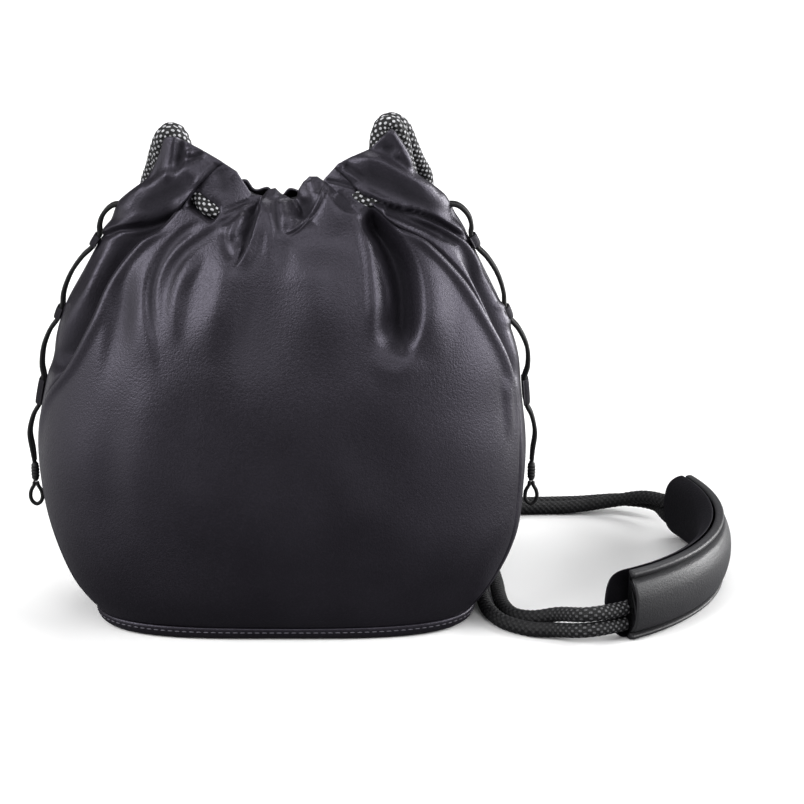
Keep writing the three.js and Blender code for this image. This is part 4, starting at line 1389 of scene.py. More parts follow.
@dataclass
class Base:
    """The base panel: a plate with an upstanding lip, turned over and sewn along its edge."""

    finishes: Finishes
    inset: float = 7.0
    leather: float = 2.0
    stitch_pitch: float = 3.6
    stitch_length: float = 2.4
    stitch_radius: float = 0.38
    stitch_height: float = 4.6

    def ring(self, inset: float, height: float, count: int = 240) -> Array:
        """Draw the seam's outline in towards the middle.

        Args:
            inset: how far each point moves in, in mm.
            height: the ring's height.
            count: how many points it has.

        Returns:
            The ring's points.
        """
        angle = np.arange(count) * 360.0 / count
        edge = SHAPE.outside(angle, np.zeros(count))
        reach = np.hypot(edge[:, 0], edge[:, 1])
        share = 1.0 - inset / reach
        return np.stack([edge[:, 0] * share, edge[:, 1] * share, np.full(count, height)], axis=1)

    def build(self) -> list[Piece]:
        """Make the panel and its row of stitches."""
        foot = [(self.inset, 0.0), (3.6, 0.5), (1.2, 2.2), (0.2, 4.4)]
        lip = [(0.1, 6.0), (0.6, 6.8), (1.4, 6.8), (self.leather, 5.4)]
        inside = [(3.2, 3.6), (self.inset + self.leather, 2.0)]
        profile = smooth_path(np.array(foot + lip + inside), 0.5)
        points, faces = closed_rings(np.array([self.ring(x, z) for x, z in profile]))
        panel = make_piece("base_panel_leather", points, faces, self.finishes.shell)
        stand_for(panel, "base_panel")
        return [panel, self.stitches()]

    def stitches(self) -> Piece:
        """Short bars of thread along the lip, each sunk by half its thickness."""
        line = self.ring(0.2, self.stitch_height, 720)
        line = np.vstack([line, line[:1]])
        run = running_total(step_lengths(line))
        count = int(run[-1] / self.stitch_pitch)
        parts = []
        for k in range(count):
            at = np.linspace(k * run[-1] / count, k * run[-1] / count + self.stitch_length, 5)
            path = np.stack([np.interp(at, run, line[:, a]) for a in range(3)], axis=1)
            side, rise = path_frames(path, (0.0, 0.0, 1.0))
            size = self.stitch_radius * np.array([0.45, 0.95, 1.0, 0.95, 0.45])
            parts.append(sweep(path, side, rise, circle(1.0, 6)[None] * size[:, None, None]))
        points, faces = join_meshes(parts)
        return make_piece("base_stitching", points, faces, self.finishes.thread)


# How far a degree round the bag reaches on average, in mm
MM_PER_DEGREE = 1.9


@dataclass
class Lining:
    """The cloth lining, over the board and up inside the leather to the foot of the gathers."""

    finishes: Finishes
    foot: float = 0.35
    drop: float = 4.0
    ease: float = 5.0
    depth: float = 3.0
    clearance: float = 0.5
    cloth: float = 0.6
    ripples: int = 40
    ripple_height: float = 0.5
    foot_ring: tuple[float, float] = (9.5, 4.7)
    floor_ring: tuple[float, float] = (10.3, 5.3)
    columns: int = 180

    def skin(self, rows: Array, angle: Array, depth: float) -> Array:
        """The lining's surface, drawn in at its top and wherever a fold of the leather presses in.

        Args:
            rows: rows of its grid.
            angle: angles of its columns, in degrees.
            depth: how far it lies under the outside, in mm.

        Returns:
            Places in mm, by row and column.
        """
        row, turn = np.meshgrid(rows, angle, indexing="ij")
        base = SHAPE.outside(turn, row)
        normal = SHAPE.normal(turn, row)
        pressed = np.zeros(row.shape)
        for folds, start, end in (
            (FRONT_FOLDS, Seam.LEFT_FRONT, Seam.RIGHT_FRONT),
            (LEFT_FOLDS, Seam.LEFT_BACK, Seam.LEFT_FRONT),
            (RIGHT_FOLDS, Seam.RIGHT_FRONT, Seam.RIGHT_BACK),
        ):
            low, high = SHAPE.seam_angle(start, row), SHAPE.seam_angle(end, row)
            inside = (turn - low + 3.0) % 360.0 <= (high - low) % 360.0 + 6.0
            offset, _ = fold_offset(base, normal, folds)
            pressed = pressed + np.where(inside, np.minimum(offset, 0.0), 0.0)
        top = RIM_ROW - self.drop
        ease = self.ease * smoothstep(top - 1.0, top, row)
        wave = self.ripple_height * np.cos(np.radians(turn * self.ripples)) * smoothstep(3.0, top, row)
        return base + normal * (pressed - depth - self.clearance - ease + wave)[..., None]

    def build(self) -> Piece:
        """Make the lining as one closed skin: foot, outside, top edge, inside and floor."""
        angle = np.arange(self.columns) * 360.0 / self.columns
        rows = np.linspace(self.foot, RIM_ROW - self.drop, 60)
        outer = self.skin(rows, angle, self.depth)
        inner = self.skin(rows, angle, self.depth + self.cloth)
        base = Base(self.finishes)
        foot, floor = (base.ring(*ring, self.columns)[None] for ring in (self.foot_ring, self.floor_ring))
        rings = np.concatenate([foot, outer, inner[::-1], floor])
        points, faces = closed_rings(rings)
        run = np.linalg.norm(np.diff(rings, axis=0), axis=-1)
        climbed = np.concatenate([np.zeros((1, self.columns)), np.cumsum(run, axis=0)])
        around = np.broadcast_to(angle * MM_PER_DEGREE, climbed.shape)
        uv = np.concatenate([np.stack([around, climbed], axis=-1).reshape(-1, 2), [[0, 0], [0, 0]]])
        piece = make_piece("lining_cloth", points, faces, self.finishes.lining, uv)
        return stand_for(piece, "lining")


# Ropes

ROPE = 7.4
REST_HEIGHT = 3.9

# Rope held by the bag: each arch runs from the tunnel's end through the mouth and over the ear
FRONT_LEFT_ARCH = (
    (-41.4, -8.6, 217.6), (-42.8, -5.4, 223), (-43.9, -3.8, 229.5), (-45.2, -2, 236),
    (-47.7, -0.6, 241.3), (-51.4, 0.6, 243.3), (-55, 2, 241), (-57.4, 4.4, 234.5),
    (-58.3, 7.6, 226.5), (-59.2, 12.9, 218),
)
BACK_LEFT_ARCH = (
    (-37, 13.4, 207), (-42, 7.4, 213.5), (-43.8, 4.2, 221.5), (-44.9, 5.4, 231),
    (-46.2, 6.6, 238), (-48.8, 7.8, 242.4), (-52.8, 8.9, 243.4), (-56.8, 10.6, 240),
    (-60, 13.4, 232.5), (-62.4, 17.3, 224.5), (-65.4, 21.2, 216.5),
)
FRONT_RIGHT_ARCH = (
    (49.4, -10.4, 214.6), (49.2, -6.2, 221.4), (48.2, -4, 229.5), (47.8, -2.4, 238),
    (49.3, -0.8, 245), (53.2, 0.6, 248.2), (57.6, 2, 246), (60.4, 4.2, 238.5),
    (61.9, 7.6, 229.5), (63.8, 13.2, 221),
)
BACK_RIGHT_ARCH = (
    (40, 13.6, 207), (45.6, 7.6, 213.5), (47.8, 4.2, 221.5), (48, 5.4, 231),
    (48.4, 6.8, 240), (50.6, 8.3, 246.4), (54.8, 9.3, 248.3), (60.2, 10.6, 245),
    (64, 13, 236.5), (67.2, 17, 228), (71, 21, 219.6),
)

# The strap's two ropes, from the left ear down behind the bag, along the floor, through the pad and
# back up behind the bag to the right ear
STRAP_A = (
    (-59.3, 13.4, 217.3), (-60.2, 24.5, 203), (-59.5, 35, 184), (-57.5, 49.8, 154),
    (-52, 66.2, 86), (-45.5, 71.5, 24), (-38, 82, 8), (-22, 94.5, 3.9),
    (4, 109.5, 3.9), (32, 122, 3.9), (60, 131.8, 3.9), (90, 137.6, 3.9),
    (124, 140.4, 3.9), (160, 141.4, 4.4), (187, 138.4, 7), (203.4, 125.4, 8.8),
    (209.1, 105.8, 8.4), (218.4, 85.3, 7.7), (223.3, 60.5, 7.7), (223.3, 38.5, 7.7),
    (218.4, 14.7, 7.7), (209, -6.1, 7.7), (195.4, -25, 7.7), (179, -39.5, 7.7),
    (164.7, -48.8, 7.7), (150.3, -55, 7.9), (136.4, -48, 5), (122.8, -43.8, 3.9),
    (110.6, -34.6, 3.9), (103.8, -19, 3.9), (101.6, -2, 3.9), (100.8, 16, 3.9),
    (98.4, 38, 3.9), (91, 58.6, 3.9), (78, 73.6, 6.6), (68.6, 73.4, 22),
    (63.2, 66.4, 86), (62.4, 50, 154), (62.6, 36, 184), (63.4, 26, 203),
    (63.9, 13.7, 220.3),
)
STRAP_B = (
    (-65.7, 21.6, 215.8), (-68.8, 27.2, 201), (-67.5, 36, 183), (-65.4, 50, 152),
    (-60, 65.2, 86), (-54.5, 74, 24), (-46, 86.6, 8), (-29, 102, 4.2),
    (-13, 108.6, 9.4), (3, 111.8, 12), (18, 114.8, 12.1), (34, 118.4, 11.4),
    (50, 121.6, 8.4), (66, 124.6, 4.2), (92, 129.2, 3.9), (124, 132.4, 3.9),
    (156, 133.2, 4.4), (181, 130.4, 9.2), (196.6, 120.8, 14.8), (209.1, 105.8, 16.8),
    (218.4, 85.3, 15.6), (223.3, 60.5, 15.6), (223.3, 38.5, 15.6), (218.4, 14.7, 15.6),
    (209, -6.1, 15.6), (195.4, -25, 15.6), (179, -39.5, 15.6), (164.7, -48.8, 15.7),
    (150.3, -54.4, 15.8), (137.4, -42.4, 11), (125.4, -36.4, 6.8), (116.4, -27.2, 4.4),
    (111.4, -13.4, 3.9), (109.8, 1, 3.9), (109.2, 18, 3.9), (106.8, 40, 3.9),
    (99, 62.6, 3.9), (86, 80.4, 6.6), (77.4, 77.6, 22), (71.2, 64.8, 86),
    (70.4, 48.2, 154), (70.8, 35, 184), (71.4, 25.6, 203), (71.7, 21.9, 217.9),
)

TUNNEL_DEPTH = 8.35
TUNNEL_ROW = RIM_ROW - 0.36
FRONT_TUNNEL_ANGLES = (256, 263, 270, 278, 286)
BACK_TUNNEL_ANGLES = (120, 112, 104, 97, 90, 83, 76, 68, 60)


# Where the front rope shows in a slit of the leather: angle, row and depth under the outside, in mm
LEFT_PATCH = ((239, 10.36, 3.2), (244, 10.24, 2.6), (249, 10.26, 5.4))
RIGHT_PATCH = ((294.5, 10.42, 6), (300, 10.38, 3), (304.6, 10.27, 2.8))


def patch_points(places: tuple[Place, ...]) -> Array:
    """Turn a rope's points that are given by angle, row and depth into places."""
    angles, rows, depths = np.array(places, float).T
    return SHAPE.under(angles, rows, depths)


def front_tunnel_points(sunk: float = 3.4) -> Array:
    """Middle line of the front tunnel, sunk a little below the folds that press in on it."""
    angles = np.array(FRONT_TUNNEL_ANGLES, float)
    ease = np.minimum(1.0, np.minimum(angles - angles[0], angles[-1] - angles) / 14.0)
    return SHAPE.under(angles, TUNNEL_ROW, TUNNEL_DEPTH + sunk * ease)


def back_tunnel_points() -> Array:
    """Middle line of the back tunnel."""
    return SHAPE.under(np.array(BACK_TUNNEL_ANGLES, float), TUNNEL_ROW, TUNNEL_DEPTH)


@dataclass(frozen=True)
class RopeRun:
    """One length of the braided rope.

    Attributes:
        node: the CAD node that it stands for.
        points: the points that it passes.
        before: a point of the run that leads up to its first, for a smooth join.
        after: a point of the run that follows its last.
        step: distance between rings of its mesh.
        sides: points round it.
        plump: how far the yarns stand out where they cross, in mm.
    """

    name: str
    node: str
    points: Array
    before: Array
    after: Array
    step: float = 0.66
    sides: int = 42
    plump: float = 0.16

    def path(self) -> Array:
        """Its centre line, which never sinks under the height at which the rope rests on the floor."""
        path = smooth_path(self.points, self.step, self.before, self.after)
        path[:, 2] = np.maximum(path[:, 2], REST_HEIGHT)
        return path

    def painted_fleck_shading(self, path: Array) -> Array:
        """Painted light and shade on the white yarns: full white high up, where the light falls on the
        ears, a little grey by the pad's near side, and nearly black low down, where the rope lies in shade.
        """
        x, y, z = path.T
        by_pad = 0.3 * smoothstep(120.0, 175.0, x) * (1.0 - smoothstep(-20.0, 20.0, y))
        return np.maximum(np.maximum(smoothstep(60.0, 150.0, z), by_pad), 0.03)

    def build(self, finish: Material, braid: BraidedRope) -> Piece:
        """Make the rope.

        Its radius swells where two yarns cross, by the product of a cosine along and one around.

        Args:
            finish: its material.
            braid: the braid's pitch and count.

        Returns:
            The piece.
        """
        path = self.path()
        side, rise = path_frames(path, (0.0, 1.0, 0.0))
        run = running_total(step_lengths(path))
        turn = np.arange(self.sides) / self.sides
        along = np.cos(2 * np.pi * run / braid.pitch)[:, None]
        around = np.cos(2 * np.pi * turn * braid.flecks_round)[None]
        reach = 1.0 + self.plump / (ROPE / 2) * (along * around - 0.4)
        sections = circle(ROPE / 2, self.sides)[None] * reach[..., None]
        points, faces = sweep(path, side, rise, sections)
        uv = np.stack([np.repeat(run, self.sides), np.tile(turn, len(path))], axis=1)
        marks = {"flecks": np.repeat(self.painted_fleck_shading(path), self.sides)}
        piece = make_piece(self.name, points, faces, finish, uv, marks)
        self.unwrap_seam(piece)
        return stand_for(piece, self.node)

    def unwrap_seam(self, piece: Piece) -> None:
        """Let the last column of faces reach 1 round the rope, where the first point has 0."""
        layer = piece.data.uv_layers["UVMap"]
        uv = np.empty(len(layer.data) * 2, dtype=np.float32)
        layer.data.foreach_get("uv", uv)
        quads = uv[: (len(layer.data) - 2 * self.sides) * 2].reshape(-1, 4, 2)
        last = quads[..., 1].max(axis=1) > 1.0 - 1.5 / self.sides
        wrapped = last[:, None] & (quads[..., 1] < 0.5)
        quads[..., 1][wrapped] += 1.0
        layer.data.foreach_set("uv", uv)


@dataclass
class Ropes:
    """Both ropes: each is a drawcord through the mouth and one strand of the strap."""

    finishes: Finishes
    braid: BraidedRope = BraidedRope("braided_rope")
    tunnel_outside: float = 5.1
    tunnel_inside: float = 4.3
    tunnel_sides: int = 32
    ruffle: float = 0.16
    ruffle_pitch: float = 5.0

    def runs(self) -> tuple[list[RopeRun], list[RopeRun]]:
        """The two drawcords, and the two strands of the strap that carry on from them."""
        strap_a, strap_b = np.array(STRAP_A, float), np.array(STRAP_B, float)
        arches = (FRONT_LEFT_ARCH, FRONT_RIGHT_ARCH, BACK_LEFT_ARCH, BACK_RIGHT_ARCH)
        front_left, front_right, back_left, back_right = (np.array(arch, float)[:-1] for arch in arches)
        slits = patch_points(LEFT_PATCH), patch_points(RIGHT_PATCH)
        front = [strap_a[:1], front_left[::-1], slits[0], front_tunnel_points(), slits[1], front_right]
        front = np.vstack([*front, strap_a[-1:]])
        back = [strap_b[:1], back_left[::-1], back_tunnel_points(), back_right, strap_b[-1:]]
        back = np.vstack(back)
        drawcords = [
            RopeRun("front_drawcord_rope", "front_drawcord", front, strap_a[1], strap_a[-2]),
            RopeRun("back_drawcord_rope", "back_drawcord", back, strap_b[1], strap_b[-2]),
        ]
        strands = [
            RopeRun("strap_rope_a_braid", "strap_rope_a", strap_a, front[1], front[-2]),
            RopeRun("strap_rope_b_braid", "strap_rope_b", strap_b, back[1], back[-2]),
        ]
        return drawcords, strands

    def build(self) -> tuple[list[Piece], list[Piece]]:
        drawcords, strands = self.runs()
        held = [run.build(self.finishes.rope, self.braid) for run in drawcords]
        held.append(self.tunnel("front_tunnel", front_tunnel_points()))
        held.append(self.tunnel("back_tunnel", back_tunnel_points()))
        free = []
        for run in strands:
            piece = run.build(self.finishes.rope, self.braid)
            path = run.path() * MM
            free.append(piece)
        return held, free

    def tunnel(self, node: str, points: Array) -> Piece:
        """Make a sleeve of thin leather round a rope, ruffled by a sine along its length.

        Args:
            node: the CAD node that it stands for.
            points: points of its middle line.

        Returns:
            The piece.
        """
        path = smooth_path(points, 0.8)
        side, rise = path_frames(path, (0.0, 0.0, 1.0))
        run = running_total(step_lengths(path))
        ruffle = self.ruffle * np.sin(run * 2 * np.pi / self.ruffle_pitch)[:, None, None]
        ring = circle(1.0, self.tunnel_sides)[None]
        outer, inner = (
            sweep(path, side, rise, ring * (radius + ruffle))[0].reshape(len(path), -1, 3)
            for radius in (self.tunnel_outside, self.tunnel_inside)
        )
        rings = np.concatenate([outer, inner[::-1]])
        faces = grid_faces(len(rings), self.tunnel_sides, around=True, over=True).tolist()
        piece = make_piece(f"{node}_sleeve", rings.reshape(-1, 3), faces, self.finishes.trim)
        return stand_for(piece, node)


# Side lacing


class Side(Enum):
    """The bag's two sides: name, angle of the middle line, and which way along X is outwards."""

    LEFT = ("left", 180.0, -1.0)
    RIGHT = ("right", 0.0, 1.0)

    def __init__(self, word: str, angle: float, out: float) -> None:
        """Keep the three values by name."""
        self.word, self.angle, self.out = word, angle, out


@dataclass(frozen=True)
class KeeperPlace:
    """Where a keeper sits on a side: the height of its middle and its length, in mm."""

    height: float
    length: float


@dataclass
class Lacing:
    """Elastic cord down one side, under small leather keepers, to a whipped stop and a pull loop."""

    finishes: Finishes
    side: Side
    elastic: float = 2.2
    spacing: float = 5.2
    bulge: float = 3.4
    top: float = 209.0
    tucked: float = 1.5
    cord_sides: int = 14
    keeper_thickness: float = 0.9
    stop_top: float = 77.0
    stop_out: float = 3.0
    stop_radius: float = 2.1
    stop_length: float = 10.0
    stop_turns: float = 6.0
    stop_ridge: float = 0.28
    stop_share: float = 0.45
    loop_cord: float = 2.0
    loop_width: float = 6.0
    loop_neck: float = 0.9
    loop_drop: float = 12.0
    swing_gap: float = 0.6
    seam_gap: float = 0.3
    keepers: tuple[KeeperPlace, ...] = (KeeperPlace(190, 6), KeeperPlace(154, 6), KeeperPlace(114, 13))

    def row_at(self, height: float) -> float:
        """Row of the sections whose height, at the middle of a side, is the one given."""
        rows = np.linspace(0.0, RIM_ROW, 2201)
        heights = SHAPE.along([s.up * SHAPE.shoulder for s in SECTIONS] + [SHAPE.rim_front], rows)
        return float(np.interp(height, heights, rows))

    def on_side(self, height: float, y: float, proud: float) -> Array:
        """A point beside the side's middle line.

        Args:
            height: its height, in mm.
            y: how far behind the middle it lies.
            proud: how far it stands out of the leather.

        Returns:
            The point, in mm.
        """
        row = self.row_at(height)
        place = SHAPE.under(self.side.angle, row, -proud)
        return np.array([place[0], y, place[2]])

    def lace_points(self, y: float) -> Array:
        """Points of one lace: flat under each keeper, and in a parabola out between them.

        Args:
            y: how far behind the middle it runs.

        Returns:
            Points in mm, from the top down.
        """
        seated = self.elastic / 2 + self.seam_gap
        stops = [self.top]
        for keeper in self.keepers:
            stops += [keeper.height + keeper.length / 2, keeper.height - keeper.length / 2]
        stops.append(self.stop_top)
        points = []
        for i, height in enumerate(stops):
            last = i == len(stops) - 1
            lift = seated + (self.stop_out - self.elastic / 2 if last else 0.0)
            lift = -self.tucked if i == 0 else lift
            points.append(self.on_side(height, y * (self.stop_share if last else 1.0), lift))
            if i % 2 == 0 and not last:
                for share in (0.2, 0.5, 0.8):
                    between = height + (stops[i + 1] - height) * share
                    lift = seated + self.bulge * (1.0 - (2.0 * share - 1.0) ** 2)
                    points.append(self.on_side(between, y, lift))
        return np.array(points)

    def cord_piece(self, name: str, node: str, points: Array, diameter: float) -> Piece:
        """Make a length of elastic with rounded ends.

        Args:
            name: the piece's name.
            node: the CAD node that it stands for.
            points: points of its middle line.
            diameter: of the elastic, in mm.

        Returns:
            The piece.
        """
        path = smooth_path(points, 0.7)
        side, rise = path_frames(path, (0.0, 1.0, 0.0))
        size = np.full(len(path), diameter / 2)
        size[[0, -1]] *= 0.8
        sides = self.cord_sides
        shape, faces = sweep(path, side, rise, circle(1.0, sides)[None] * size[:, None, None])
        run = running_total(step_lengths(path))
        around = np.tile(np.arange(sides) / sides * math.pi * diameter, len(path))
        uv = np.stack([np.repeat(run, sides), around], axis=1)
        return stand_for(make_piece(name, shape, faces, self.finishes.elastic, uv), node)

    def keeper(self, place: KeeperPlace, number: int) -> Piece:
        """Make a band of leather arched over the two laces, its feet flat on the gusset.

        Its section is a superellipse, as wide as the keeper is long and thinner at its feet.

        Args:
            place: where it sits.
            number: its number from the top.

        Returns:
            The piece.
        """
        half = [(7, 0.3), (5.6, 0.5), (4.7, 1.7), (3.2, 3.0)]
        arch = smooth_path(np.array([(-y, z) for y, z in half] + [(0, 3.2)] + half[::-1]), 0.5)
        row = self.row_at(place.height)
        normal = SHAPE.normal(self.side.angle, row)
        normal = np.array([normal[0], 0.0, normal[2]]) / math.hypot(normal[0], normal[2])
        across = np.array([0.0, self.side.out, 0.0])
        up = np.cross(across, normal)
        middle = self.on_side(place.height, 0.0, 0.1)
        path = middle + arch[:, :1] * across + arch[:, 1:] * normal
        ahead = np.gradient(path, axis=0)
        ahead /= np.linalg.norm(ahead, axis=1, keepdims=True)
        long_way = np.broadcast_to(up, ahead.shape)
        turn = 2 * np.pi * np.arange(36) / 36
        wide = place.length / 2 * signed_power(np.cos(turn), 2 / 3)
        thick = self.keeper_thickness / 2 * signed_power(np.sin(turn), 2 / 3)
        outline = np.stack([wide, thick], axis=1)
        shrink = np.ones(len(path))
        shrink[[0, -1]] = 0.5
        shrink[[1, -2]] = 0.9
        sections = outline[None] * np.stack([0.9 + 0.1 * shrink, shrink], axis=1)[:, None]
        points, faces = sweep(path, long_way, np.cross(ahead, long_way), sections)
        name = f"{self.side.word}_keeper_{number}"
        piece = make_piece(f"{name}_band", points, faces, self.finishes.trim)
        return stand_for(piece, name)

    def stop(self) -> Piece:
        """Make the whipping that binds the laces: a barrel with a ridge for each turn of cord."""
        top = self.on_side(self.stop_top, 0.0, self.stop_out + self.seam_gap)
        share = np.linspace(0.0, 1.0, 61)
        height = np.linspace(0.0, -self.stop_length, len(share)) - self.seam_gap
        path = top + np.stack([0.0 * share, 0.0 * share, height], axis=1)
        side_way = np.broadcast_to([1.0, 0.0, 0.0], path.shape)
        rise = np.broadcast_to([0.0, -1.0, 0.0], path.shape)
        barrel = self.stop_radius * np.sqrt(np.clip(1.0 - np.abs(2 * share - 1.0) ** 5, 0.4, 1.0))
        turn = np.arange(20) / 20
        wound = np.abs(np.sin(np.pi * (share[:, None] * self.stop_turns + turn[None])))
        reach = barrel[:, None] - self.stop_ridge + self.stop_ridge * wound
        points, faces = sweep(path, side_way, rise, circle(1.0, len(turn))[None] * reach[..., None])
        piece = make_piece(f"{self.side.word}_stop_whipping", points, faces, self.finishes.stop)
        return stand_for(piece, f"{self.side.word}_cord_stop")

    def loop(self) -> Piece:
        """Make the pull loop under the stop."""
        top = self.on_side(self.stop_top, 0.0, self.stop_out + self.seam_gap)
        head = top[2] - self.seam_gap - self.stop_length - self.swing_gap
        narrow, wide, drop = self.loop_neck, self.loop_width / 2, self.loop_drop
        half = [(narrow, 0), (narrow * 1.05, -0.14), (wide * 0.85, -0.4)]
        half += [(wide, -0.68), (wide * 0.66, -0.9)]
        path = [(-x, z) for x, z in half] + [(0.0, -1.0)] + half[::-1]
        points = np.array([[top[0] + x, 0.0, head + z * drop] for x, z in path])
        name = f"{self.side.word}_pull_loop"
        return self.cord_piece(f"{name}_cord", name, points, self.loop_cord)

    def build(self) -> tuple[list[Piece], Piece]:
        """Make the lacing, and return its pull loop apart, since that swings."""
        fixed = []
        for word, y in (("front", -self.spacing / 2), ("back", self.spacing / 2)):
            node = f"{self.side.word}_elastic_{word}"
            fixed.append(self.cord_piece(f"{node}_cord", node, self.lace_points(y), self.elastic))
        fixed += [self.keeper(place, k + 1) for k, place in enumerate(self.keepers)]
        fixed.append(self.stop())
        return fixed, self.loop()


# Shoulder pad


@dataclass
class ShoulderPad:
    """A sleeve of leather round both ropes, bent to their arc, with a lining that shows at its ends."""

    finishes: Finishes
    centre: tuple[float, float] = (112.0, 50.0)
    radius: float = 112.0
    start: float = -58.9
    end: float = 23.6
    height: float = 36.0
    floor_gap: float = 0.4
    flap: float = 8.0
    lining_thickness: float = 1.6
    lining_depth: float = 5.2
    edge_lean: float = 6.0
    edge_radius: float = 0.9
    grooves: tuple[float, float] = (3.7, 32.2)
    groove_width: float = 0.8

    def on_arc(self, degrees: Array, offset: Array, height: Array) -> Array:
        """Turn places along the ropes' arc into points.

        Args:
            degrees: how far round the arc they are.
            offset: how far outside it they lie, in mm.
            height: their heights.

        Returns:
            Points with x, y, z on the last axis.
        """
        turn = np.radians(degrees)
        reach = self.radius + offset
        x = self.centre[0] + reach * np.cos(turn)
        y = self.centre[1] + reach * np.sin(turn)
        return np.stack(np.broadcast_arrays(x, y, height), axis=-1)

    def outer_outline(self) -> Array:
        """The outer leather's section: a bead along each edge and a convex band between two grooves."""
        foot = [(1.6, 0.1), (4.8, 0.2), (6.8, 1.4), (6.6, 2.8), (4.2, 3.7), (6.4, 4.7), (8.2, 6.6)]
        face = [(9.4, 10.0), (10.2, 14.0), (10.4, 18.0), (9.9, 23.0), (8.7, 27.0), (7.2, 30.0), (5.4, 31.4)]
        crown = [(3.7, 32.2), (5.2, 32.9), (6.1, 34.3), (5.4, 35.7), (3.4, 36.2), (1.6, 35.8)]
        hollow = [(1.6, 34.6), (2.3, 33.2), (4.0, 31.0), (6.4, 28.0), (7.9, 24.0), (8.4, 19.0)]
        hollow += [(8.2, 14.0), (7.4, 10.4), (6.0, 7.4), (4.2, 5.8), (2.9, 4.6), (2.4, 2.8), (1.6, 1.5)]
        return smooth_closed([(x, self.floor_gap + z) for x, z in foot + face + crown + hollow], 4)

    def painted_groove_shade(self, sections: Array) -> Array:
        """Painted shade along both grooves: minus a bell curve of the height over each, outside alone."""
        height = sections[..., 1] - self.floor_gap
        low, high = (np.exp(-(((height - place) / self.groove_width) ** 2)) for place in self.grooves)
        return -np.maximum(low, high) * (sections[..., 0] > 3.4)

    def carry(
        self, name: str, degrees: Array, sections: Array, finish: Material, mark: Array | None = None
    ) -> Piece:
        """Carry sections round the arc and close both ends.

        Args:
            name: the piece's name.
            degrees: each section's place round the arc.
            sections: their points, as offsets from the arc and heights.
            finish: its leather.
            mark: one mark a point, if its material reads them.

        Returns:
            The piece.
        """
        rings = self.on_arc(degrees[:, None], sections[..., 0], sections[..., 1])
        count = rings.shape[1]
        faces = grid_faces(len(degrees), count, around=True)[:, ::-1].tolist()
        faces.append(list(range(count)))
        faces.append([(len(degrees) - 1) * count + i for i in range(count)][::-1])
        marks = None if mark is None else {"fold": mark.ravel()}
        return make_piece(name, rings.reshape(-1, 3), faces, finish, marks=marks)

    def outer(self) -> Piece:
        """The outer leather, whose section is drawn in towards both ends to round their edges."""
        outline = self.outer_outline()
        back, drawn = edge_rounding(self.edge_radius, 5)
        degree = math.radians(1.0) * self.radius
        middle = np.linspace(self.start + 1.0 / degree, self.end - 1.0 / degree, 120)
        stations = np.concatenate([self.start + back[::-1] / degree, middle, self.end - back / degree])
        depths = np.concatenate([drawn[::-1], np.zeros(len(middle)), drawn])
        sections = np.array([inset_outline(outline, depth) for depth in depths])
        # Painted shade in the grooves, which the leather reads as tucks
        mark = self.painted_groove_shade(sections)
        piece = self.carry("pad_outer_leather", stations, sections, self.finishes.pad, mark)
        return stand_for(piece, "pad_outer")

    def lining(self) -> Piece:
        """The inner leather: a strip whose ends are half ovals that stand past the outer leather.

        Half its height is that of the pad times the root of 1 - s^2, s being the share of the flap. Its
        long edges lean out to meet the outer leather, by the fifth power of their share of its height.
        """
        flap = math.degrees(self.flap / self.radius)
        ease = (1.0 - np.cos(np.linspace(0.0, np.pi, 161))) / 2
        degrees = self.start - flap + (self.end - self.start + 2 * flap) * ease
        past = np.maximum(0.0, np.maximum(self.start - degrees, degrees - self.end)) / flap
        half = self.height / 2 * np.sqrt(np.maximum(0.003, 1.0 - past**2))
        turn = 2 * np.pi * np.arange(64) / 64
        offset = self.lining_thickness / 2 * signed_power(np.cos(turn), 0.4)
        upward = signed_power(np.sin(turn), 0.9)
        middle = self.floor_gap + self.height / 2
        depth = self.lining_depth + self.lining_thickness / 2
        heights = middle + half[:, None] * upward[None]
        lean = self.edge_lean * np.abs(2.0 * (heights - middle) / self.height) ** 5
        sections = np.stack([offset - depth + lean, heights], axis=-1)
        piece = self.carry("pad_inner_leather", degrees, sections, self.finishes.pad_lining)
        return stand_for(piece, "pad_lining")

    def build(self) -> list[Piece]:
        outer, lining = self.outer(), self.lining()
        return [outer, lining]


# Surroundings


@dataclass(frozen=True)
class Lamp:
    """One light.

    Attributes:
        around: degrees from the front, round to the right.
        up: degrees over the floor.
        spread: degrees that it fills in the sky, which makes it soft.
        strength: its light on a surface that faces it.
    """

    name: str
    around: float
    up: float
    spread: float
    strength: float


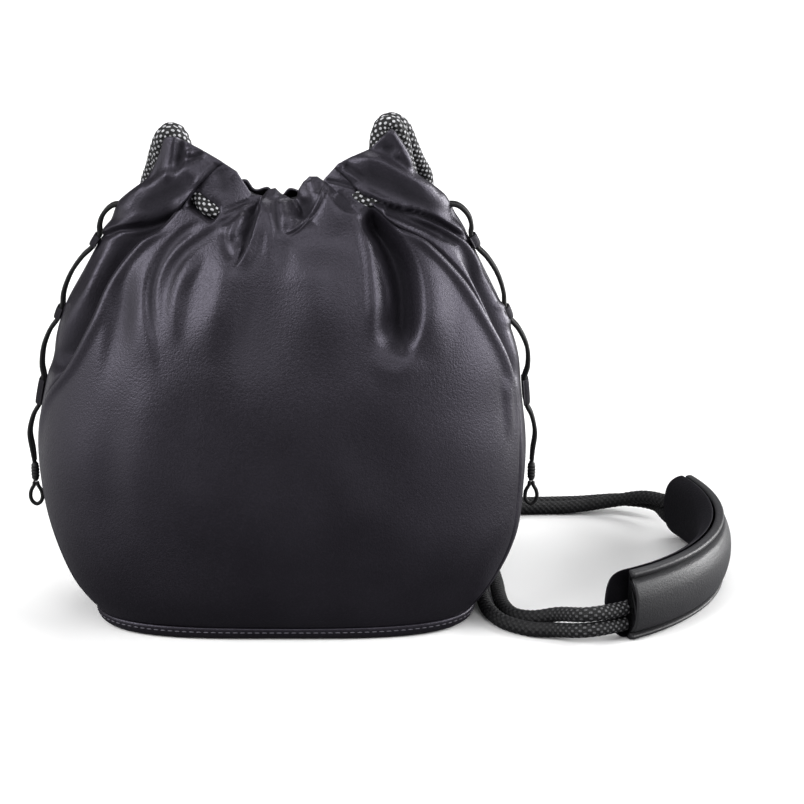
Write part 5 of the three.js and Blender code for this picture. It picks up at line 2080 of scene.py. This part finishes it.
@dataclass
class Studio:
    """A white floor and background, and broad soft lights from the front, the sides and behind.

    The two shares say how white the floor is in a reflection, before the bag and beside it.
    """

    floor_glow: float = 0.02
    floor_reach: float = 15000.0
    mirrored_share: float = 0.04
    side_share: float = 0.5
    world_strength: float = 0.04
    lamps: tuple[Lamp, ...] = (
        Lamp("left_light", -58.0, 38.0, 40.0, 2.5),
        Lamp("front_light", 14.0, 48.0, 34.0, 0.85),
        Lamp("right_light", 74.0, 24.0, 36.0, 2.1),
        Lamp("right_edge_light", 116.0, 12.0, 30.0, 3.4),
        Lamp("low_left_light", -80.0, 2.0, 60.0, 0.9),
        Lamp("back_light", 165.0, 58.0, 40.0, 1.0),
    )

    @staticmethod
    def white_share(tree: Tree, mirrored_share: Socket | float) -> Socket:
        """How much of the surroundings' white a ray meets: all of it from the camera or through glass.

        A reflection takes the share that is given.
        """
        path = add_node(tree, "ShaderNodeLightPath")
        mirrored = calculate(tree, "MULTIPLY", path.outputs["Is Glossy Ray"], mirrored_share)
        seen = calculate(tree, "MAXIMUM", path.outputs["Is Camera Ray"], mirrored)
        return calculate(tree, "MAXIMUM", seen, path.outputs["Is Transmission Ray"])

    def floor_share(self, tree: Tree) -> Socket:
        """Share of the floor's white that a reflection meets.

        The leather in the photograph mirrors a dark place in front and white ones at its sides, so the
        share grows over the floor to the left and the right of the bag.
        """
        place = add_node(tree, "ShaderNodeTexCoord").outputs["Object"]
        across = add_node(tree, "ShaderNodeSeparateXYZ", {0: place}).outputs["X"]
        aside = calculate(tree, "ABSOLUTE", across)
        return remap(tree, aside, 0.1, 0.4, self.mirrored_share, self.side_share)

    def floor(self) -> None:
        """Make the floor: white with shadows to the camera, and grey as it lights the bag."""
        material, tree = new_material("studio_floor")
        seen = self.white_share(tree, self.floor_share(tree))
        plain = add_node(tree, "ShaderNodeBsdfDiffuse", {"Color": linear("#444446")}).outputs[0]
        white = add_node(tree, "ShaderNodeBsdfDiffuse", {"Color": linear("#ffffff")}).outputs[0]
        light = {"Color": linear("#ffffff"), "Strength": self.floor_glow}
        glow = add_node(tree, "ShaderNodeEmission", light).outputs[0]
        shown = add_node(tree, "ShaderNodeAddShader", {0: white, 1: glow}).outputs[0]
        both = add_node(tree, "ShaderNodeMixShader", {0: seen, 1: plain, 2: shown}).outputs[0]
        add_node(tree, "ShaderNodeOutputMaterial", {"Surface": both})
        corners = self.floor_reach * np.array([[-1, -1, 0], [1, -1, 0], [1, 1, 0], [-1, 1, 0]])
        make_piece("studio_floor", corners, [[0, 1, 2, 3]], material)

    def shine(self, lamp: Lamp) -> None:
        """Hang one light so far off that it is even over floor and bag."""
        data = bpy.data.lights.new(lamp.name, "SUN")
        data.angle = math.radians(lamp.spread)
        data.energy = lamp.strength
        light = bpy.data.objects.new(lamp.name, data)
        bpy.context.scene.collection.objects.link(light)
        around, up = math.radians(lamp.around), math.radians(lamp.up)
        way = Vector((math.sin(around) * math.cos(up), -math.cos(around) * math.cos(up), math.sin(up)))
        light.location = way
        light.rotation_euler = way.to_track_quat("Z", "Y").to_euler()

    def world(self) -> None:
        """A dim even world, which fills the shadows and is white behind the floor's far edge."""
        world = bpy.data.worlds.new("studio")
        bpy.context.scene.world = world
        world.use_nodes = True
        tree = world.node_tree
        tree.nodes.clear()
        white = self.white_share(tree, self.mirrored_share)
        strength = calculate(tree, "MAXIMUM", white, self.world_strength)
        even = add_node(tree, "ShaderNodeBackground", {"Color": linear("#ffffff"), "Strength": strength})
        add_node(tree, "ShaderNodeOutputWorld", {"Surface": even.outputs[0]})

    def build(self) -> None:
        """Make the floor, the lights and the world."""
        self.floor()
        self.world()
        for lamp in self.lamps:
            self.shine(lamp)
        bpy.context.scene.view_settings.view_transform = "Standard"


def dress_board(finish: Material) -> None:
    """Give the board that stiffens the base its own material."""
    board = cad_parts["base_board"]
    board.data.materials.clear()
    board.data.materials.append(finish)


def main() -> None:
    """Build the pouch piece by piece, and the studio round it."""
    CAMERA.build()
    finishes = Finishes()
    held, free = Ropes(finishes).build()
    still = held + free + Shell(finishes).build() + Base(finishes).build()
    still.append(Lining(finishes).build())
    loops = []
    for side in Side:
        laced, loop = Lacing(finishes, side).build()
        still += laced
        loops.append(loop)
    for piece in still:
        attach(piece, "bag")
    for piece in ShoulderPad(finishes).build():
        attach(piece, "shoulder_pad")
    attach(loops[0], "left_pull")
    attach(loops[1], "right_pull")
    dress_board(finishes.board)
    Studio().build()


if __name__ == "__main__":
    main()
